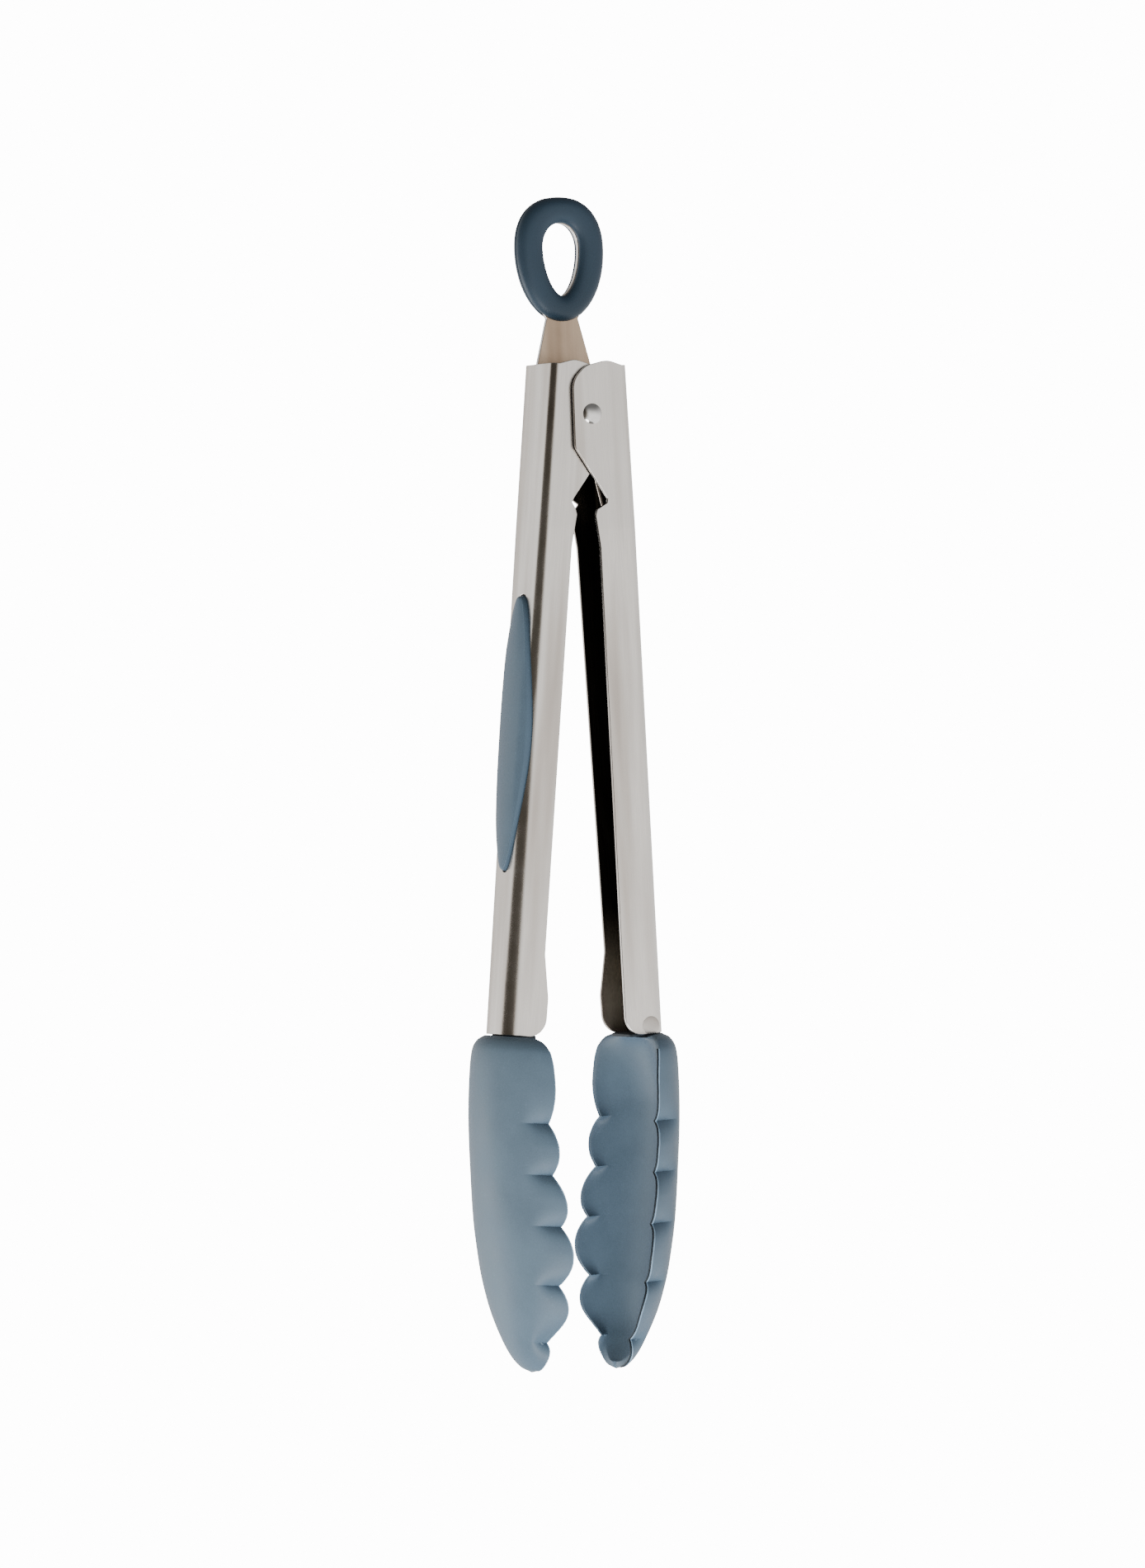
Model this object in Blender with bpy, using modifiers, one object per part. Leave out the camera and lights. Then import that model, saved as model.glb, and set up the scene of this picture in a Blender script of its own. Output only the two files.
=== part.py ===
"""Spring loaded kitchen tongs, as an assembly of separate pieces.

Units are millimetres in the sizes below and metres in the scene. +Z is up: the tongs hang from
the hole of the pull tab, heads down. +Y is the thickness, and the arms open along X. The origin
is the top of the hole that the tongs hang by.
"""
import math

import bmesh
import bpy
from mathutils import Matrix, Vector

MM = 0.001
GAP = 0.3                        # clearance between neighbouring pieces

# Arms: two U channels of sheet steel that cross at the rivet
SHEET = 0.9
ARM_TILT = 4.35                  # each arm's lean from the middle plane, degrees
SPINE_X = 11.4                   # rivet axis to the outside of the spine
INNER_WIDTH = 16.4               # left arm across its flanges at the hinge
OUTER_WIDTH = 19.0               # right arm, which straddles the left one
LOWER_WIDTH = 14.0               # both arms at the head
TAPER_START = -30.0
ARM_BOTTOM = -159.0
BEND_TOP = 2.2                   # outside bend radius at the hinge
BEND_BOTTOM = 3.3                # and at the head
SPINE_TOP = 12.0
SHALLOW_EDGE = {"left": (2.6, 1.9), "right": (3.2, 2.3)}   # open edge below the hinge, and lower down

# Hinge
SHANK_R = 1.8
PIN_HOLE_R = 2.0
RIVET_HEAD_R = 2.6
RIVET_HEAD_H = 0.9
SLEEVE_R = 2.4
SLEEVE_BORE_R = 2.1
COIL_R = 3.4
WIRE_R = 0.55
COIL_TURNS = 5
COIL_FAR_Y = 2.9
COIL_NEAR_Y = -6.2
LEG_SLOPE = 16.0                 # lean of the spring's legs, degrees
LEG_LENGTH = 28.5

# Pull tab: a steel plate with a ring, between two soft covers
TAB_LEAN = 2.4                   # the tab leans this far to the left, degrees
TAB_Y = 5.0
PLATE_T = 1.2
TAB_TRAVEL = 8.5
SLOT_WIDTH = 4.2
PLATE_BOTTOM = -10.0
PLATE_HALF_WIDTH = 7.6
NECK_HALF_WIDTH = 4.5
LOOP_CENTRE_Z = 42.5
LOOP_HALF_WIDTH = 12.5
LOOP_UP = 13.6
LOOP_DOWN = 18.2
HOLE_CENTRE_Z = 42.8
HOLE_HALF_WIDTH = 5.5
HOLE_UP = 6.6
HOLE_DOWN = 12.1
COVER_T = 2.1

# Grip pad: leaf shaped, set in an opening of the left spine
PAD_TOP = -46.5
PAD_BOTTOM = -116.5
PAD_HALF_WIDTH = 6.6
PAD_CROWN = 1.5
PAD_STEPS = 14
NECK_SHARE = 0.74                # the opening's width against the leaf's

# Heads: scooped, with five notches along each edge
NOTCHES = (-180.7, -193.6, -206.4, -221.3, -236.2)
CRESTS = (1.3, 2.1, 2.3, 2.9, 3.0, 0.5)   # height of each scallop above its notches
HEAD_TOP = -159.3
HEAD_TIP = -244.2
HEAD_WALL = 3.8                  # wall behind the core
RIM_WALL = 2.2
# height, outside of the back, edge at notch level, half width at notch level
HEAD_STATIONS = (
    (-159.3, 12.0, 5.7, 11.4),
    (-160.4, 13.8, 4.5, 13.9),
    (-163.0, 15.0, 3.8, 15.9),
    (-170.0, 15.2, 3.2, 16.5),
    (-181.0, 14.5, 2.6, 16.9),
    (-194.0, 12.8, 1.0, 17.7),
    (-206.0, 10.8, -1.5, 19.1),
    (-214.0, 9.1, -2.5, 18.6),
    (-221.0, 7.4, -3.1, 17.2),
    (-229.0, 4.9, -4.3, 14.0),
    (-236.0, 1.8, -4.9, 10.0),
    (-240.5, -1.2, -5.5, 7.6),
    (-243.2, -4.0, -6.0, 4.9),
    (-244.2, -6.1, -6.3, 0.0),
)
CREST_DIRECTION = (-0.75, 0.66)  # a scallop leans inwards and sideways

# Cores: steel tangs welded in the channels, buried in the heads
CORE_T = 1.2
CORE_END = -225.0
CORE_IN_CHANNEL = 8.6            # middle of the blade inside the channel

# The origin, measured from the rivet axis
HOLE_TOP = HOLE_CENTRE_Z + HOLE_UP
LEAN = math.radians(TAB_LEAN)
ORIGIN = Vector((-HOLE_TOP * math.sin(LEAN), TAB_Y, HOLE_TOP * math.cos(LEAN)))


# ---------------------------------------------------------------- scene and materials

def clear_scene():
    for obj in list(bpy.data.objects):
        bpy.data.objects.remove(obj, do_unlink=True)


def new_collection(name):
    collection = bpy.data.collections.new(name)
    bpy.context.scene.collection.children.link(collection)
    return collection


def material(name, colour, roughness, metallic=0.0):
    mat = bpy.data.materials.new(name)
    mat.use_nodes = True
    shader = mat.node_tree.nodes["Principled BSDF"]
    shader.inputs["Base Color"].default_value = (*colour, 1.0)
    shader.inputs["Roughness"].default_value = roughness
    shader.inputs["Metallic"].default_value = metallic
    mat.diffuse_color = (*colour, 1.0)
    return mat


def empty(name, location, rotation_y=0.0):
    obj = bpy.data.objects.new(name, None)
    obj.location = location
    obj.rotation_euler = (0.0, math.radians(rotation_y), 0.0)
    parts.objects.link(obj)
    return obj


def add(name, data, mat=None, parent=None, collection=None):
    obj = bpy.data.objects.new(name, data)
    (collection or parts).objects.link(obj)
    if mat is not None:
        data.materials.append(mat)
    if parent is not None:
        obj.parent = parent
    return obj


# ---------------------------------------------------------------- geometry helpers

def curve_value(stations, column, z):
    """A smooth value between stations, which run downwards."""
    last = len(stations) - 1
    index = 0
    while index < last - 1 and z < stations[index + 1][0]:
        index += 1
    z0, z1 = stations[index][0], stations[index + 1][0]
    t = min(max((z - z0) / (z1 - z0), 0.0), 1.0)

    def slope(k):
        low, high = max(k - 1, 0), min(k + 1, last)
        rise = stations[high][column] - stations[low][column]
        return rise / (stations[high][0] - stations[low][0])

    span = z1 - z0
    v0, v1 = stations[index][column], stations[index + 1][column]
    m0, m1 = slope(index) * span, slope(index + 1) * span
    return ((2 * t ** 3 - 3 * t ** 2 + 1) * v0 + (t ** 3 - 2 * t ** 2 + t) * m0
            + (3 * t ** 2 - 2 * t ** 3) * v1 + (t ** 3 - t ** 2) * m1)


def smooth(low, high, value):
    t = min(max((value - low) / (high - low), 0.0), 1.0)
    return t * t * (3 - 2 * t)


def rounded(corners, steps=4):
    """A closed outline from (x, z, radius) corners, each rounded by an arc."""
    outline = []
    count = len(corners)
    for index, (x, z, radius) in enumerate(corners):
        corner = Vector((x, z))
        if radius <= 0:
            outline.append((x, z))
            continue
        before = Vector(corners[index - 1][:2]) - corner
        after = Vector(corners[(index + 1) % count][:2]) - corner
        half = before.angle(after) / 2
        reach = min(radius / math.tan(half), 0.49 * before.length, 0.49 * after.length)
        if reach < 0.01:
            outline.append((x, z))
            continue
        radius = reach * math.tan(half)
        middle = (before.normalized() + after.normalized()).normalized()
        centre = corner + middle * (radius / math.sin(half))
        start = corner + before.normalized() * reach - centre
        turn = start.angle_signed(corner + after.normalized() * reach - centre)
        for step in range(steps + 1):
            arm = start.copy()
            arm.rotate(Matrix.Rotation(-turn * step / steps, 2))
            outline.append(tuple(centre + arm))
    return outline


def loft(loops, name, caps=True):
    """A closed solid through loops of equal length. Points are (x, y, z) in millimetres."""
    bm = bmesh.new()
    rows = [[bm.verts.new(Vector(p) * MM) for p in loop] for loop in loops]
    count = len(rows[0])
    pairs = list(zip(rows, rows[1:]))
    if not caps:
        pairs.append((rows[-1], rows[0]))
    for upper, lower in pairs:
        for i in range(count):
            j = (i + 1) % count
            bm.faces.new((upper[i], upper[j], lower[j], lower[i]))
    if caps:
        bm.faces.new(rows[0][::-1])
        bm.faces.new(rows[-1])
    return finish_mesh(bm, name)


def finish_mesh(bm, name):
    bmesh.ops.remove_doubles(bm, verts=bm.verts, dist=1e-6)
    bmesh.ops.dissolve_degenerate(bm, edges=bm.edges, dist=1e-7)
    bmesh.ops.recalc_face_normals(bm, faces=bm.faces)
    mesh = bpy.data.meshes.new(name)
    bm.to_mesh(mesh)
    bm.free()
    mesh.shade_smooth()
    mesh.set_sharp_from_angle(angle=math.radians(35))
    return mesh


def prism(outline, low, high, name):
    """An outline in the X-Z plane, extruded along Y."""
    return loft([[(x, y, z) for x, z in outline] for y in (low, high)], name)


def cut(obj, mesh, operation="DIFFERENCE"):
    """Cuts obj with a mesh given in obj's own space."""
    cutter = add(mesh.name, mesh, collection=cutters)
    cutter.parent = obj.parent
    cutter.hide_render = True
    cutter.display_type = "WIRE"
    modifier = obj.modifiers.new(mesh.name, "BOOLEAN")
    modifier.operation = operation
    modifier.object = cutter


def rod(radius, low, high, name, sides=32):
    """A cylinder on the rivet axis."""
    circle = [(radius * math.cos(2 * math.pi * k / sides), radius * math.sin(2 * math.pi * k / sides))
              for k in range(sides)]
    return prism(circle, low, high, name)


def turned(name, profile, mat, parent):
    """A profile of (radius, y) points, turned about the rivet axis."""
    bm = bmesh.new()
    verts = [bm.verts.new((r * MM, 0.0, y * MM)) for r, y in profile]
    for a, b in zip(verts, verts[1:]):
        bm.edges.new((a, b))
    if profile[0][0] > 0:
        bm.edges.new((verts[-1], verts[0]))
    mesh = bpy.data.meshes.new(name)
    bm.to_mesh(mesh)
    bm.free()
    obj = add(name, mesh, mat, parent)
    obj.rotation_euler = (math.radians(-90.0), 0.0, 0.0)
    screw = obj.modifiers.new("Turned", "SCREW")
    screw.steps = screw.render_steps = 32
    screw.use_merge_vertices = True
    screw.merge_threshold = 1e-5
    screw.use_smooth_shade = True
    return obj


# ---------------------------------------------------------------- arms

def arm_width(hinge_width, z):
    share = min(max((TAPER_START - z) / (TAPER_START - ARM_BOTTOM), 0.0), 1.0)
    return hinge_width + (LOWER_WIDTH - hinge_width) * share


def channel_section(hinge_width, z, reach=14.0, bend_steps=5):
    """The U section at one height, for a spine at +X: outside, then back along the inside."""
    half = arm_width(hinge_width, z) / 2
    share = min(max((SPINE_TOP - z) / (SPINE_TOP - ARM_BOTTOM), 0.0), 1.0)
    bend = BEND_TOP + (BEND_BOTTOM - BEND_TOP) * share
    path = []
    for inset in (0.0, SHEET):
        radius = bend - inset
        side = [(SPINE_X - reach - 3.0, -(half - inset))]
        for step in range(bend_steps + 1):
            angle = math.radians(90.0 * step / bend_steps)
            side.append((SPINE_X - bend + radius * math.sin(angle),
                         -(half - bend + radius * math.cos(angle))))
        side += [(x, -y) for x, y in reversed(side)]
        path += side if inset == 0.0 else side[::-1]
    return [(x, y, z) for x, y in path]


def flange_waste(edge_top, edge_low, flare, corner_radius):
    """What is cut away beside one flange: the outline runs from the top of the spine, over the
    ear, down the open edge to the bottom corner, and back far outside the arm."""
    return rounded([
        (20.0, SPINE_TOP, 0.0),
        (9.3, SPINE_TOP, 0.0),
        (5.4, 13.4, 7.0),
        (-2.3, 12.0, 5.0),
        (-4.8, 9.6, 2.6),
        (-5.5, -8.3, 1.5),
        (2.9, -22.0, 0.5),
        (edge_top - 0.6, -25.2, 1.0),
        (edge_top, -33.0, 6.0),
        (edge_low, -138.0, 8.0),
        (flare, -149.0, 6.0),
        (flare, ARM_BOTTOM, corner_radius),
        (20.0, ARM_BOTTOM, 0.0),
        (20.0, -170.0, 0.0),
        (-24.0, -170.0, 0.0),
        (-24.0, 24.0, 0.0),
        (20.0, 24.0, 0.0),
    ])


def mirrored(mesh, side):
    """Pieces are shaped for the right arm. The left arm's are the same, turned about Z."""
    if side == "left":
        mesh.transform(Matrix.Rotation(math.pi, 4, "Z"))
    return mesh


def make_arm(side, hinge_width, parent, mat):
    """A channel with two ears at the top. The left arm's spine also has the grip pad's opening."""
    levels = (16.0, 4.0, -12.0, TAPER_START, -70.0, -115.0, -162.0)
    sections = [channel_section(hinge_width, z) for z in levels]
    mesh = loft(sections, side + "_channel")
    arm = add(side + "_arm", mirrored(mesh, side), mat, parent)
    deep = prism(flange_waste(0.0, -0.6, -0.6, 11.0), -14.0, 3.0, side + "_deep_flange_waste")
    top, low = SHALLOW_EDGE[side]
    shallow = prism(flange_waste(top, low, 0.1, 5.0), -3.0, 14.0, side + "_shallow_flange_waste")
    cut(arm, mirrored(deep, side))
    cut(arm, mirrored(shallow, side))
    cut(arm, rod(PIN_HOLE_R, -14.0, 14.0, side + "_pin_hole"))
    if side == "left":
        opening = [(NECK_SHARE * pad_half_width(s), s) for s in pad_stations(PAD_STEPS)]
        loops = [[(x, h, pad_z(s)) for h, s in opening]
                 + [(x, -h, pad_z(s)) for h, s in reversed(opening)] for x in (7.5, 14.0)]
        cut(arm, mirrored(loft(loops, side + "_pad_opening"), side))
    return arm


# ---------------------------------------------------------------- grip pad

def pad_z(share):
    return PAD_TOP + (PAD_BOTTOM - PAD_TOP) * share


def pad_half_width(share):
    return max(PAD_HALF_WIDTH * math.sin(math.pi * share) ** 0.65, 0.9)


def pad_stations(steps):
    """Shares of the length, closer together at the ends."""
    return [0.5 - 0.488 * math.cos(math.pi * k / steps) for k in range(steps + 1)]


def make_pad(side, parent, mat):
    """A crowned leaf outside, a neck through the opening and a lip behind it."""
    loops = []
    for share in pad_stations(PAD_STEPS):
        half = pad_half_width(share)
        neck = max(NECK_SHARE * half - GAP, 0.3)
        lip = neck + 0.9
        crown = PAD_CROWN * (half / PAD_HALF_WIDTH) ** 0.7
        face = SPINE_X + GAP
        top = [(face + 0.35 + crown * math.cos(a), half * math.sin(a))
               for a in [math.radians(-90 + 22.5 * k) for k in range(9)]]
        back = SPINE_X - SHEET - GAP
        under = [(face, half), (face, neck), (back, neck), (back, lip), (back - 0.9, lip)]
        section = top + under + [(x, -y) for x, y in reversed(under)]
        loops.append([(x, y, pad_z(share)) for x, y in section])
    return add(side + "_grip_pad", mirrored(loft(loops, side + "_grip_pad"), side), mat, parent)


# ---------------------------------------------------------------- heads and cores

def scallop(z):
    """Height of the edge above notch level, and the height it would have with no notches."""
    edges = (HEAD_TOP,) + NOTCHES + (HEAD_TIP,)
    middles = [(edges[k] + edges[k + 1]) / 2 for k in range(len(CRESTS))]
    rows = [(HEAD_TOP, 0.6)] + list(zip(middles, CRESTS)) + [(HEAD_TIP, 0.0)]
    full = curve_value(rows, 1, z)
    index = max(k for k in range(len(CRESTS)) if z <= edges[k] + 1e-9)
    t = (edges[index] - z) / (edges[index] - edges[index + 1])
    return full * 4 * t * (1 - t), full


def head_point(z, across, wall):
    """A point of the head: across runs from -1 at one edge to 1 at the other."""
    back, edge, half = (curve_value(HEAD_STATIONS, k, z) for k in (1, 2, 3))
    height, full = scallop(z)
    smooth_edge = (edge + CREST_DIRECTION[0] * full, half + CREST_DIRECTION[1] * full)
    depth = max(back - smooth_edge[0], 0.02)
    width = max(smooth_edge[1], 0.02)
    radius = (width ** 2 + depth ** 2) / (2 * depth)
    angle = abs(across) * 2 * math.atan(depth / width)
    x = back - radius * (1 - math.cos(angle))
    y = radius * math.sin(angle)
    cut_back = (height - full) * smooth(0.55, 1.0, abs(across))
    x += CREST_DIRECTION[0] * cut_back
    y += CREST_DIRECTION[1] * cut_back
    if wall > 0:
        thickness = min(wall + (RIM_WALL - wall) * abs(across) ** 1.4, 0.85 * width)
        x -= thickness * math.cos(angle)
        y -= thickness * math.sin(angle) * min(1.0, width / 6.0)
    return x, math.copysign(max(y, 0.0), across), z


def head_levels():
    edges = (HEAD_TOP,) + NOTCHES + (HEAD_TIP,)
    levels = [HEAD_TOP, -159.7, -160.6, -162.4]
    for upper, lower in zip(edges, edges[1:]):
        start = -165.5 if upper == HEAD_TOP else upper
        levels += [start + (lower - start) * t for t in (0.0, 0.22, 0.5, 0.78)]
    return levels + [-241.8, -243.2, -243.9, HEAD_TIP]


def make_head(side, parent, mat):
    columns = [-1 + k / 7 for k in range(15)]
    loops = []
    for z in head_levels():
        outside = [head_point(z, c, 0.0) for c in columns]
        inside = [head_point(z, c, head_wall(z)) for c in reversed(columns)]
        loops.append(outside + [(x, y, inside_level(z)) for x, y, _ in inside])
    head = add(side + "_head", mirrored(loft(loops, side + "_head"), side), mat, parent)
    cut(head, mirrored(core_blade(GAP, side + "_core_pocket"), side))
    return head


def head_wall(z):
    """Wall behind the hollow: thick at the top, where the core enters."""
    return HEAD_WALL + 6.0 * (1 - smooth(HEAD_TOP, -178.0, z))


def inside_level(z):
    """The hollow stops short of the tip."""
    share = (HEAD_TOP - z) / (HEAD_TOP - HEAD_TIP)
    return z - 0.6 * (1 - smooth(0.0, 0.1, share)) + 2.4 * smooth(0.85, 1.0, share)


def blade_middle(z):
    """Middle of the core blade: inside the channel above, behind the head's hollow below."""
    in_head = curve_value(HEAD_STATIONS, 1, min(z, HEAD_TOP)) - HEAD_WALL / 2
    return CORE_IN_CHANNEL + (in_head - CORE_IN_CHANNEL) * smooth(-158.0, -171.0, z)


def core_blade(grow, name):
    """The blade, or with grow its pocket, as a loft of curved strips."""
    levels = [-157.0, -159.0, -161.5, -164.0, -166.5, -169.0, -172.0, -180.0, -190.0,
              -200.0, -209.0, -217.0, CORE_END - grow]
    if grow:
        levels[0] = -154.0
    loops = []
    for z in levels:
        middle = blade_middle(z)
        half = 4.4 - 1.2 * smooth(-205.0, -225.0, z) + grow
        thick = CORE_T / 2 + grow
        bow = smooth(-160.0, -172.0, z) / (2 * 17.0)
        steps = [-1 + k / 3 for k in range(7)]
        outer = [(middle + thick - bow * (half * s) ** 2, half * s, z) for s in steps]
        inner = [(middle - thick - bow * (half * s) ** 2, half * s, z) for s in reversed(steps)]
        loops.append(outer + inner)
    return loft(loops, name)


def make_core(side, parent, mat):
    """A bent tang: one leg lies on the deep flange, where it is welded, and the blade goes down."""
    section = [(3.0, -5.75), (7.2, -5.75), (8.4, -5.2), (9.2, -4.0), (9.2, 4.4), (8.0, 4.4),
               (8.0, -3.7), (7.6, -4.4), (6.9, -4.85), (3.0, -4.85)]
    tang = loft([[(x, y, z) for x, y in section] for z in (-147.0, -158.6)], side + "_tang")
    core = add(side + "_head_core", mirrored(tang, side), mat, parent)
    cut(core, mirrored(core_blade(0.0, side + "_core_blade"), side), "UNION")
    return core


# ---------------------------------------------------------------- hinge

def make_rivet(parent, mat):
    """Shank with a domed head at each end: it is formed in place and can't be taken out."""
    seat = OUTER_WIDTH / 2 + 0.2
    dome = [(RIVET_HEAD_R * math.cos(a), seat + 0.25 + (RIVET_HEAD_H - 0.25) * math.sin(a))
            for a in [math.radians(15 * k) for k in range(6)]]
    top = [(0.0, seat + RIVET_HEAD_H)] + dome[::-1] + [(RIVET_HEAD_R, seat), (SHANK_R, seat)]
    profile = top + [(r, -y) for r, y in reversed(top)]
    return turned("pivot_rivet", profile, mat, parent)


def make_sleeve(parent, mat):
    low = -(INNER_WIDTH / 2 - SHEET - 0.4)
    high = TAB_Y - PLATE_T / 2 - 0.3
    profile = [(SLEEVE_R, high), (SLEEVE_R, low), (SLEEVE_BORE_R, low), (SLEEVE_BORE_R, high)]
    return turned("spring_sleeve", profile, mat, parent)


def make_spring(parent, mat):
    """A coil round the sleeve, with a leg down to the inside of each spine."""
    slope = math.radians(LEG_SLOPE)
    turn = COIL_TURNS * 2 * math.pi + math.pi - 2 * slope
    steps = COIL_TURNS * 12 + 5
    coil = []
    for k in range(steps + 1):
        angle = slope + turn * k / steps
        y = COIL_FAR_Y + (COIL_NEAR_Y - COIL_FAR_Y) * k / steps
        coil.append(Vector((COIL_R * math.cos(angle), y, COIL_R * math.sin(angle))))
    down = Vector((math.sin(slope), 0.0, -math.cos(slope)))
    right = [coil[0] + down * LEG_LENGTH * s for s in (1.0, 0.5)]
    down.x = -down.x
    left = [coil[-1] + down * LEG_LENGTH * s for s in (0.5, 1.0)]
    points = right + coil + left
    data = bpy.data.curves.new("torsion_spring", "CURVE")
    data.dimensions = "3D"
    data.bevel_depth = WIRE_R * MM
    data.bevel_resolution = 2
    data.use_fill_caps = True
    data.render_resolution_u = 0
    spline = data.splines.new("POLY")
    spline.points.add(len(points) - 1)
    for point, place in zip(spline.points, points):
        point.co = (*(place * MM), 1.0)
    return add("torsion_spring", data, mat, parent)


# ---------------------------------------------------------------- pull tab

def egg(half_width, centre, up, down, power_up, power_down, steps=40):
    """A closed egg outline, as powers of sine and cosine."""
    outline = []
    for k in range(steps):
        angle = 2 * math.pi * k / steps
        c, s = math.cos(angle), math.sin(angle)
        power = 2 / (power_up if s >= 0 else power_down)
        reach = up if s >= 0 else down
        outline.append((half_width * math.copysign(abs(c) ** power, c),
                        centre + reach * math.copysign(abs(s) ** power, s)))
    return outline


def loop_outline(inset):
    return egg(LOOP_HALF_WIDTH - inset, LOOP_CENTRE_Z, LOOP_UP - inset, LOOP_DOWN - inset, 2.3, 2.0)


def hole_outline(inset):
    return egg(HOLE_HALF_WIDTH - inset, HOLE_CENTRE_Z, HOLE_UP - inset, HOLE_DOWN - inset, 2.1, 1.6)


def flat_plate(name, outlines, thickness, mat, parent):
    data = bpy.data.curves.new(name, "CURVE")
    data.dimensions = "2D"
    data.fill_mode = "BOTH"
    data.extrude = thickness / 2 * MM
    data.render_resolution_u = 0
    for outline in outlines:
        spline = data.splines.new("POLY")
        spline.points.add(len(outline) - 1)
        for point, (x, z) in zip(spline.points, outline):
            point.co = (x * MM, z * MM, 0.0, 1.0)
        spline.use_cyclic_u = True
    obj = add(name, data, mat, parent)
    obj.rotation_euler = (math.radians(90.0), 0.0, 0.0)
    obj.location = (0.0, TAB_Y * MM, 0.0)
    return obj


def make_plate(parent, mat):
    """Ring above, tapered neck, wide shoulders and a slot that rides on the rivet."""
    ring = [(x, z) for x, z in loop_outline(0.8) if z > 27.5]
    ring.sort(key=lambda p: math.atan2(p[1] - LOOP_CENTRE_Z, p[0]) % (2 * math.pi))
    start = min(range(len(ring)), key=lambda k: (ring[k][0] < 0, ring[k][1]))
    ring = ring[start:] + ring[:start]
    body = rounded([
        (-NECK_HALF_WIDTH, 25.0, 0.0),
        (-PLATE_HALF_WIDTH, 14.6, 2.0),
        (-PLATE_HALF_WIDTH, -2.0, 2.0),
        (-4.6, PLATE_BOTTOM, 2.0),
        (4.6, PLATE_BOTTOM, 2.0),
        (PLATE_HALF_WIDTH, -2.0, 2.0),
        (PLATE_HALF_WIDTH, 14.6, 2.0),
        (NECK_HALF_WIDTH, 25.0, 0.0),
    ])
    half = SLOT_WIDTH / 2
    slot = rounded([(half, -half, half), (half, TAB_TRAVEL + GAP + half, half),
                    (-half, TAB_TRAVEL + GAP + half, half), (-half, -half, half)], 6)
    return flat_plate("pull_plate", [ring + body, hole_outline(0.3), slot], PLATE_T, mat, parent)


def make_cover(name, direction, parent, mat):
    """Half of the loop's cover: flat against the plate, rounded outside."""
    back = TAB_Y + direction * (PLATE_T / 2 + GAP)
    loops = []
    for inner, outer in zip(hole_outline(0.0), loop_outline(0.0)):
        middle = (Vector(inner) + Vector(outer)) / 2
        arm = (Vector(outer) - Vector(inner)) / 2
        loop = []
        for k in range(7):
            angle = math.pi * k / 6
            place = middle - arm * math.cos(angle)
            height = COVER_T * math.sin(angle) ** 0.8 if 0 < k < 6 else 0.0
            loop.append((place.x, back + direction * height, place.y))
        loops.append(loop)
    return add(name, loft(loops, name, caps=False), mat, parent)


# ---------------------------------------------------------------- assembly

clear_scene()
parts = new_collection("kitchen_tongs")
cutters = new_collection("cutters")

steel = material("brushed_steel", (0.56, 0.54, 0.52), 0.32, 1.0)
bright_steel = material("polished_steel", (0.66, 0.65, 0.64), 0.16, 1.0)
plate_steel = material("plate_steel", (0.50, 0.44, 0.36), 0.30, 1.0)
spring_steel = material("spring_steel", (0.42, 0.38, 0.33), 0.35, 1.0)
core_steel = material("core_steel", (0.35, 0.34, 0.33), 0.45, 1.0)
silicone = material("head_silicone", (0.13, 0.18, 0.23), 0.55)
pad_silicone = material("pad_silicone", (0.10, 0.14, 0.19), 0.55)
loop_silicone = material("loop_silicone", (0.04, 0.07, 0.11), 0.50)
sleeve_plastic = material("sleeve_plastic", (0.05, 0.05, 0.05), 0.5)

pivot = empty("pivot_axis", -ORIGIN * MM)
tab = empty("tab_frame", -ORIGIN * MM, -TAB_LEAN)
hinges = {"left": empty("left_hinge", -ORIGIN * MM, ARM_TILT),
          "right": empty("right_hinge", -ORIGIN * MM, -ARM_TILT)}

make_plate(tab, plate_steel)
make_cover("loop_cover_front", -1, tab, loop_silicone)
make_cover("loop_cover_back", 1, tab, loop_silicone)
make_rivet(pivot, bright_steel)
make_sleeve(pivot, sleeve_plastic)
make_spring(pivot, spring_steel)
make_pad("left", hinges["left"], pad_silicone)
for arm_side, across_flanges in (("left", INNER_WIDTH), ("right", OUTER_WIDTH)):
    make_arm(arm_side, across_flanges, hinges[arm_side], steel)
    make_core(arm_side, hinges[arm_side], core_steel)
    make_head(arm_side, hinges[arm_side], silicone)
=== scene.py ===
"""Looks of spring loaded kitchen tongs: sheet steel arms, silicone heads, grip pads and pull loop.

Outlines are in millimetres, measured from the rivet axis in each piece's own frame, and are turned
into metres when a mesh is made. +Z is up, towards the pull loop.
"""
import math

import bmesh
import bpy
from bpy.props import FloatProperty, FloatVectorProperty, IntProperty, PointerProperty
from mathutils import Matrix, Vector


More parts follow.
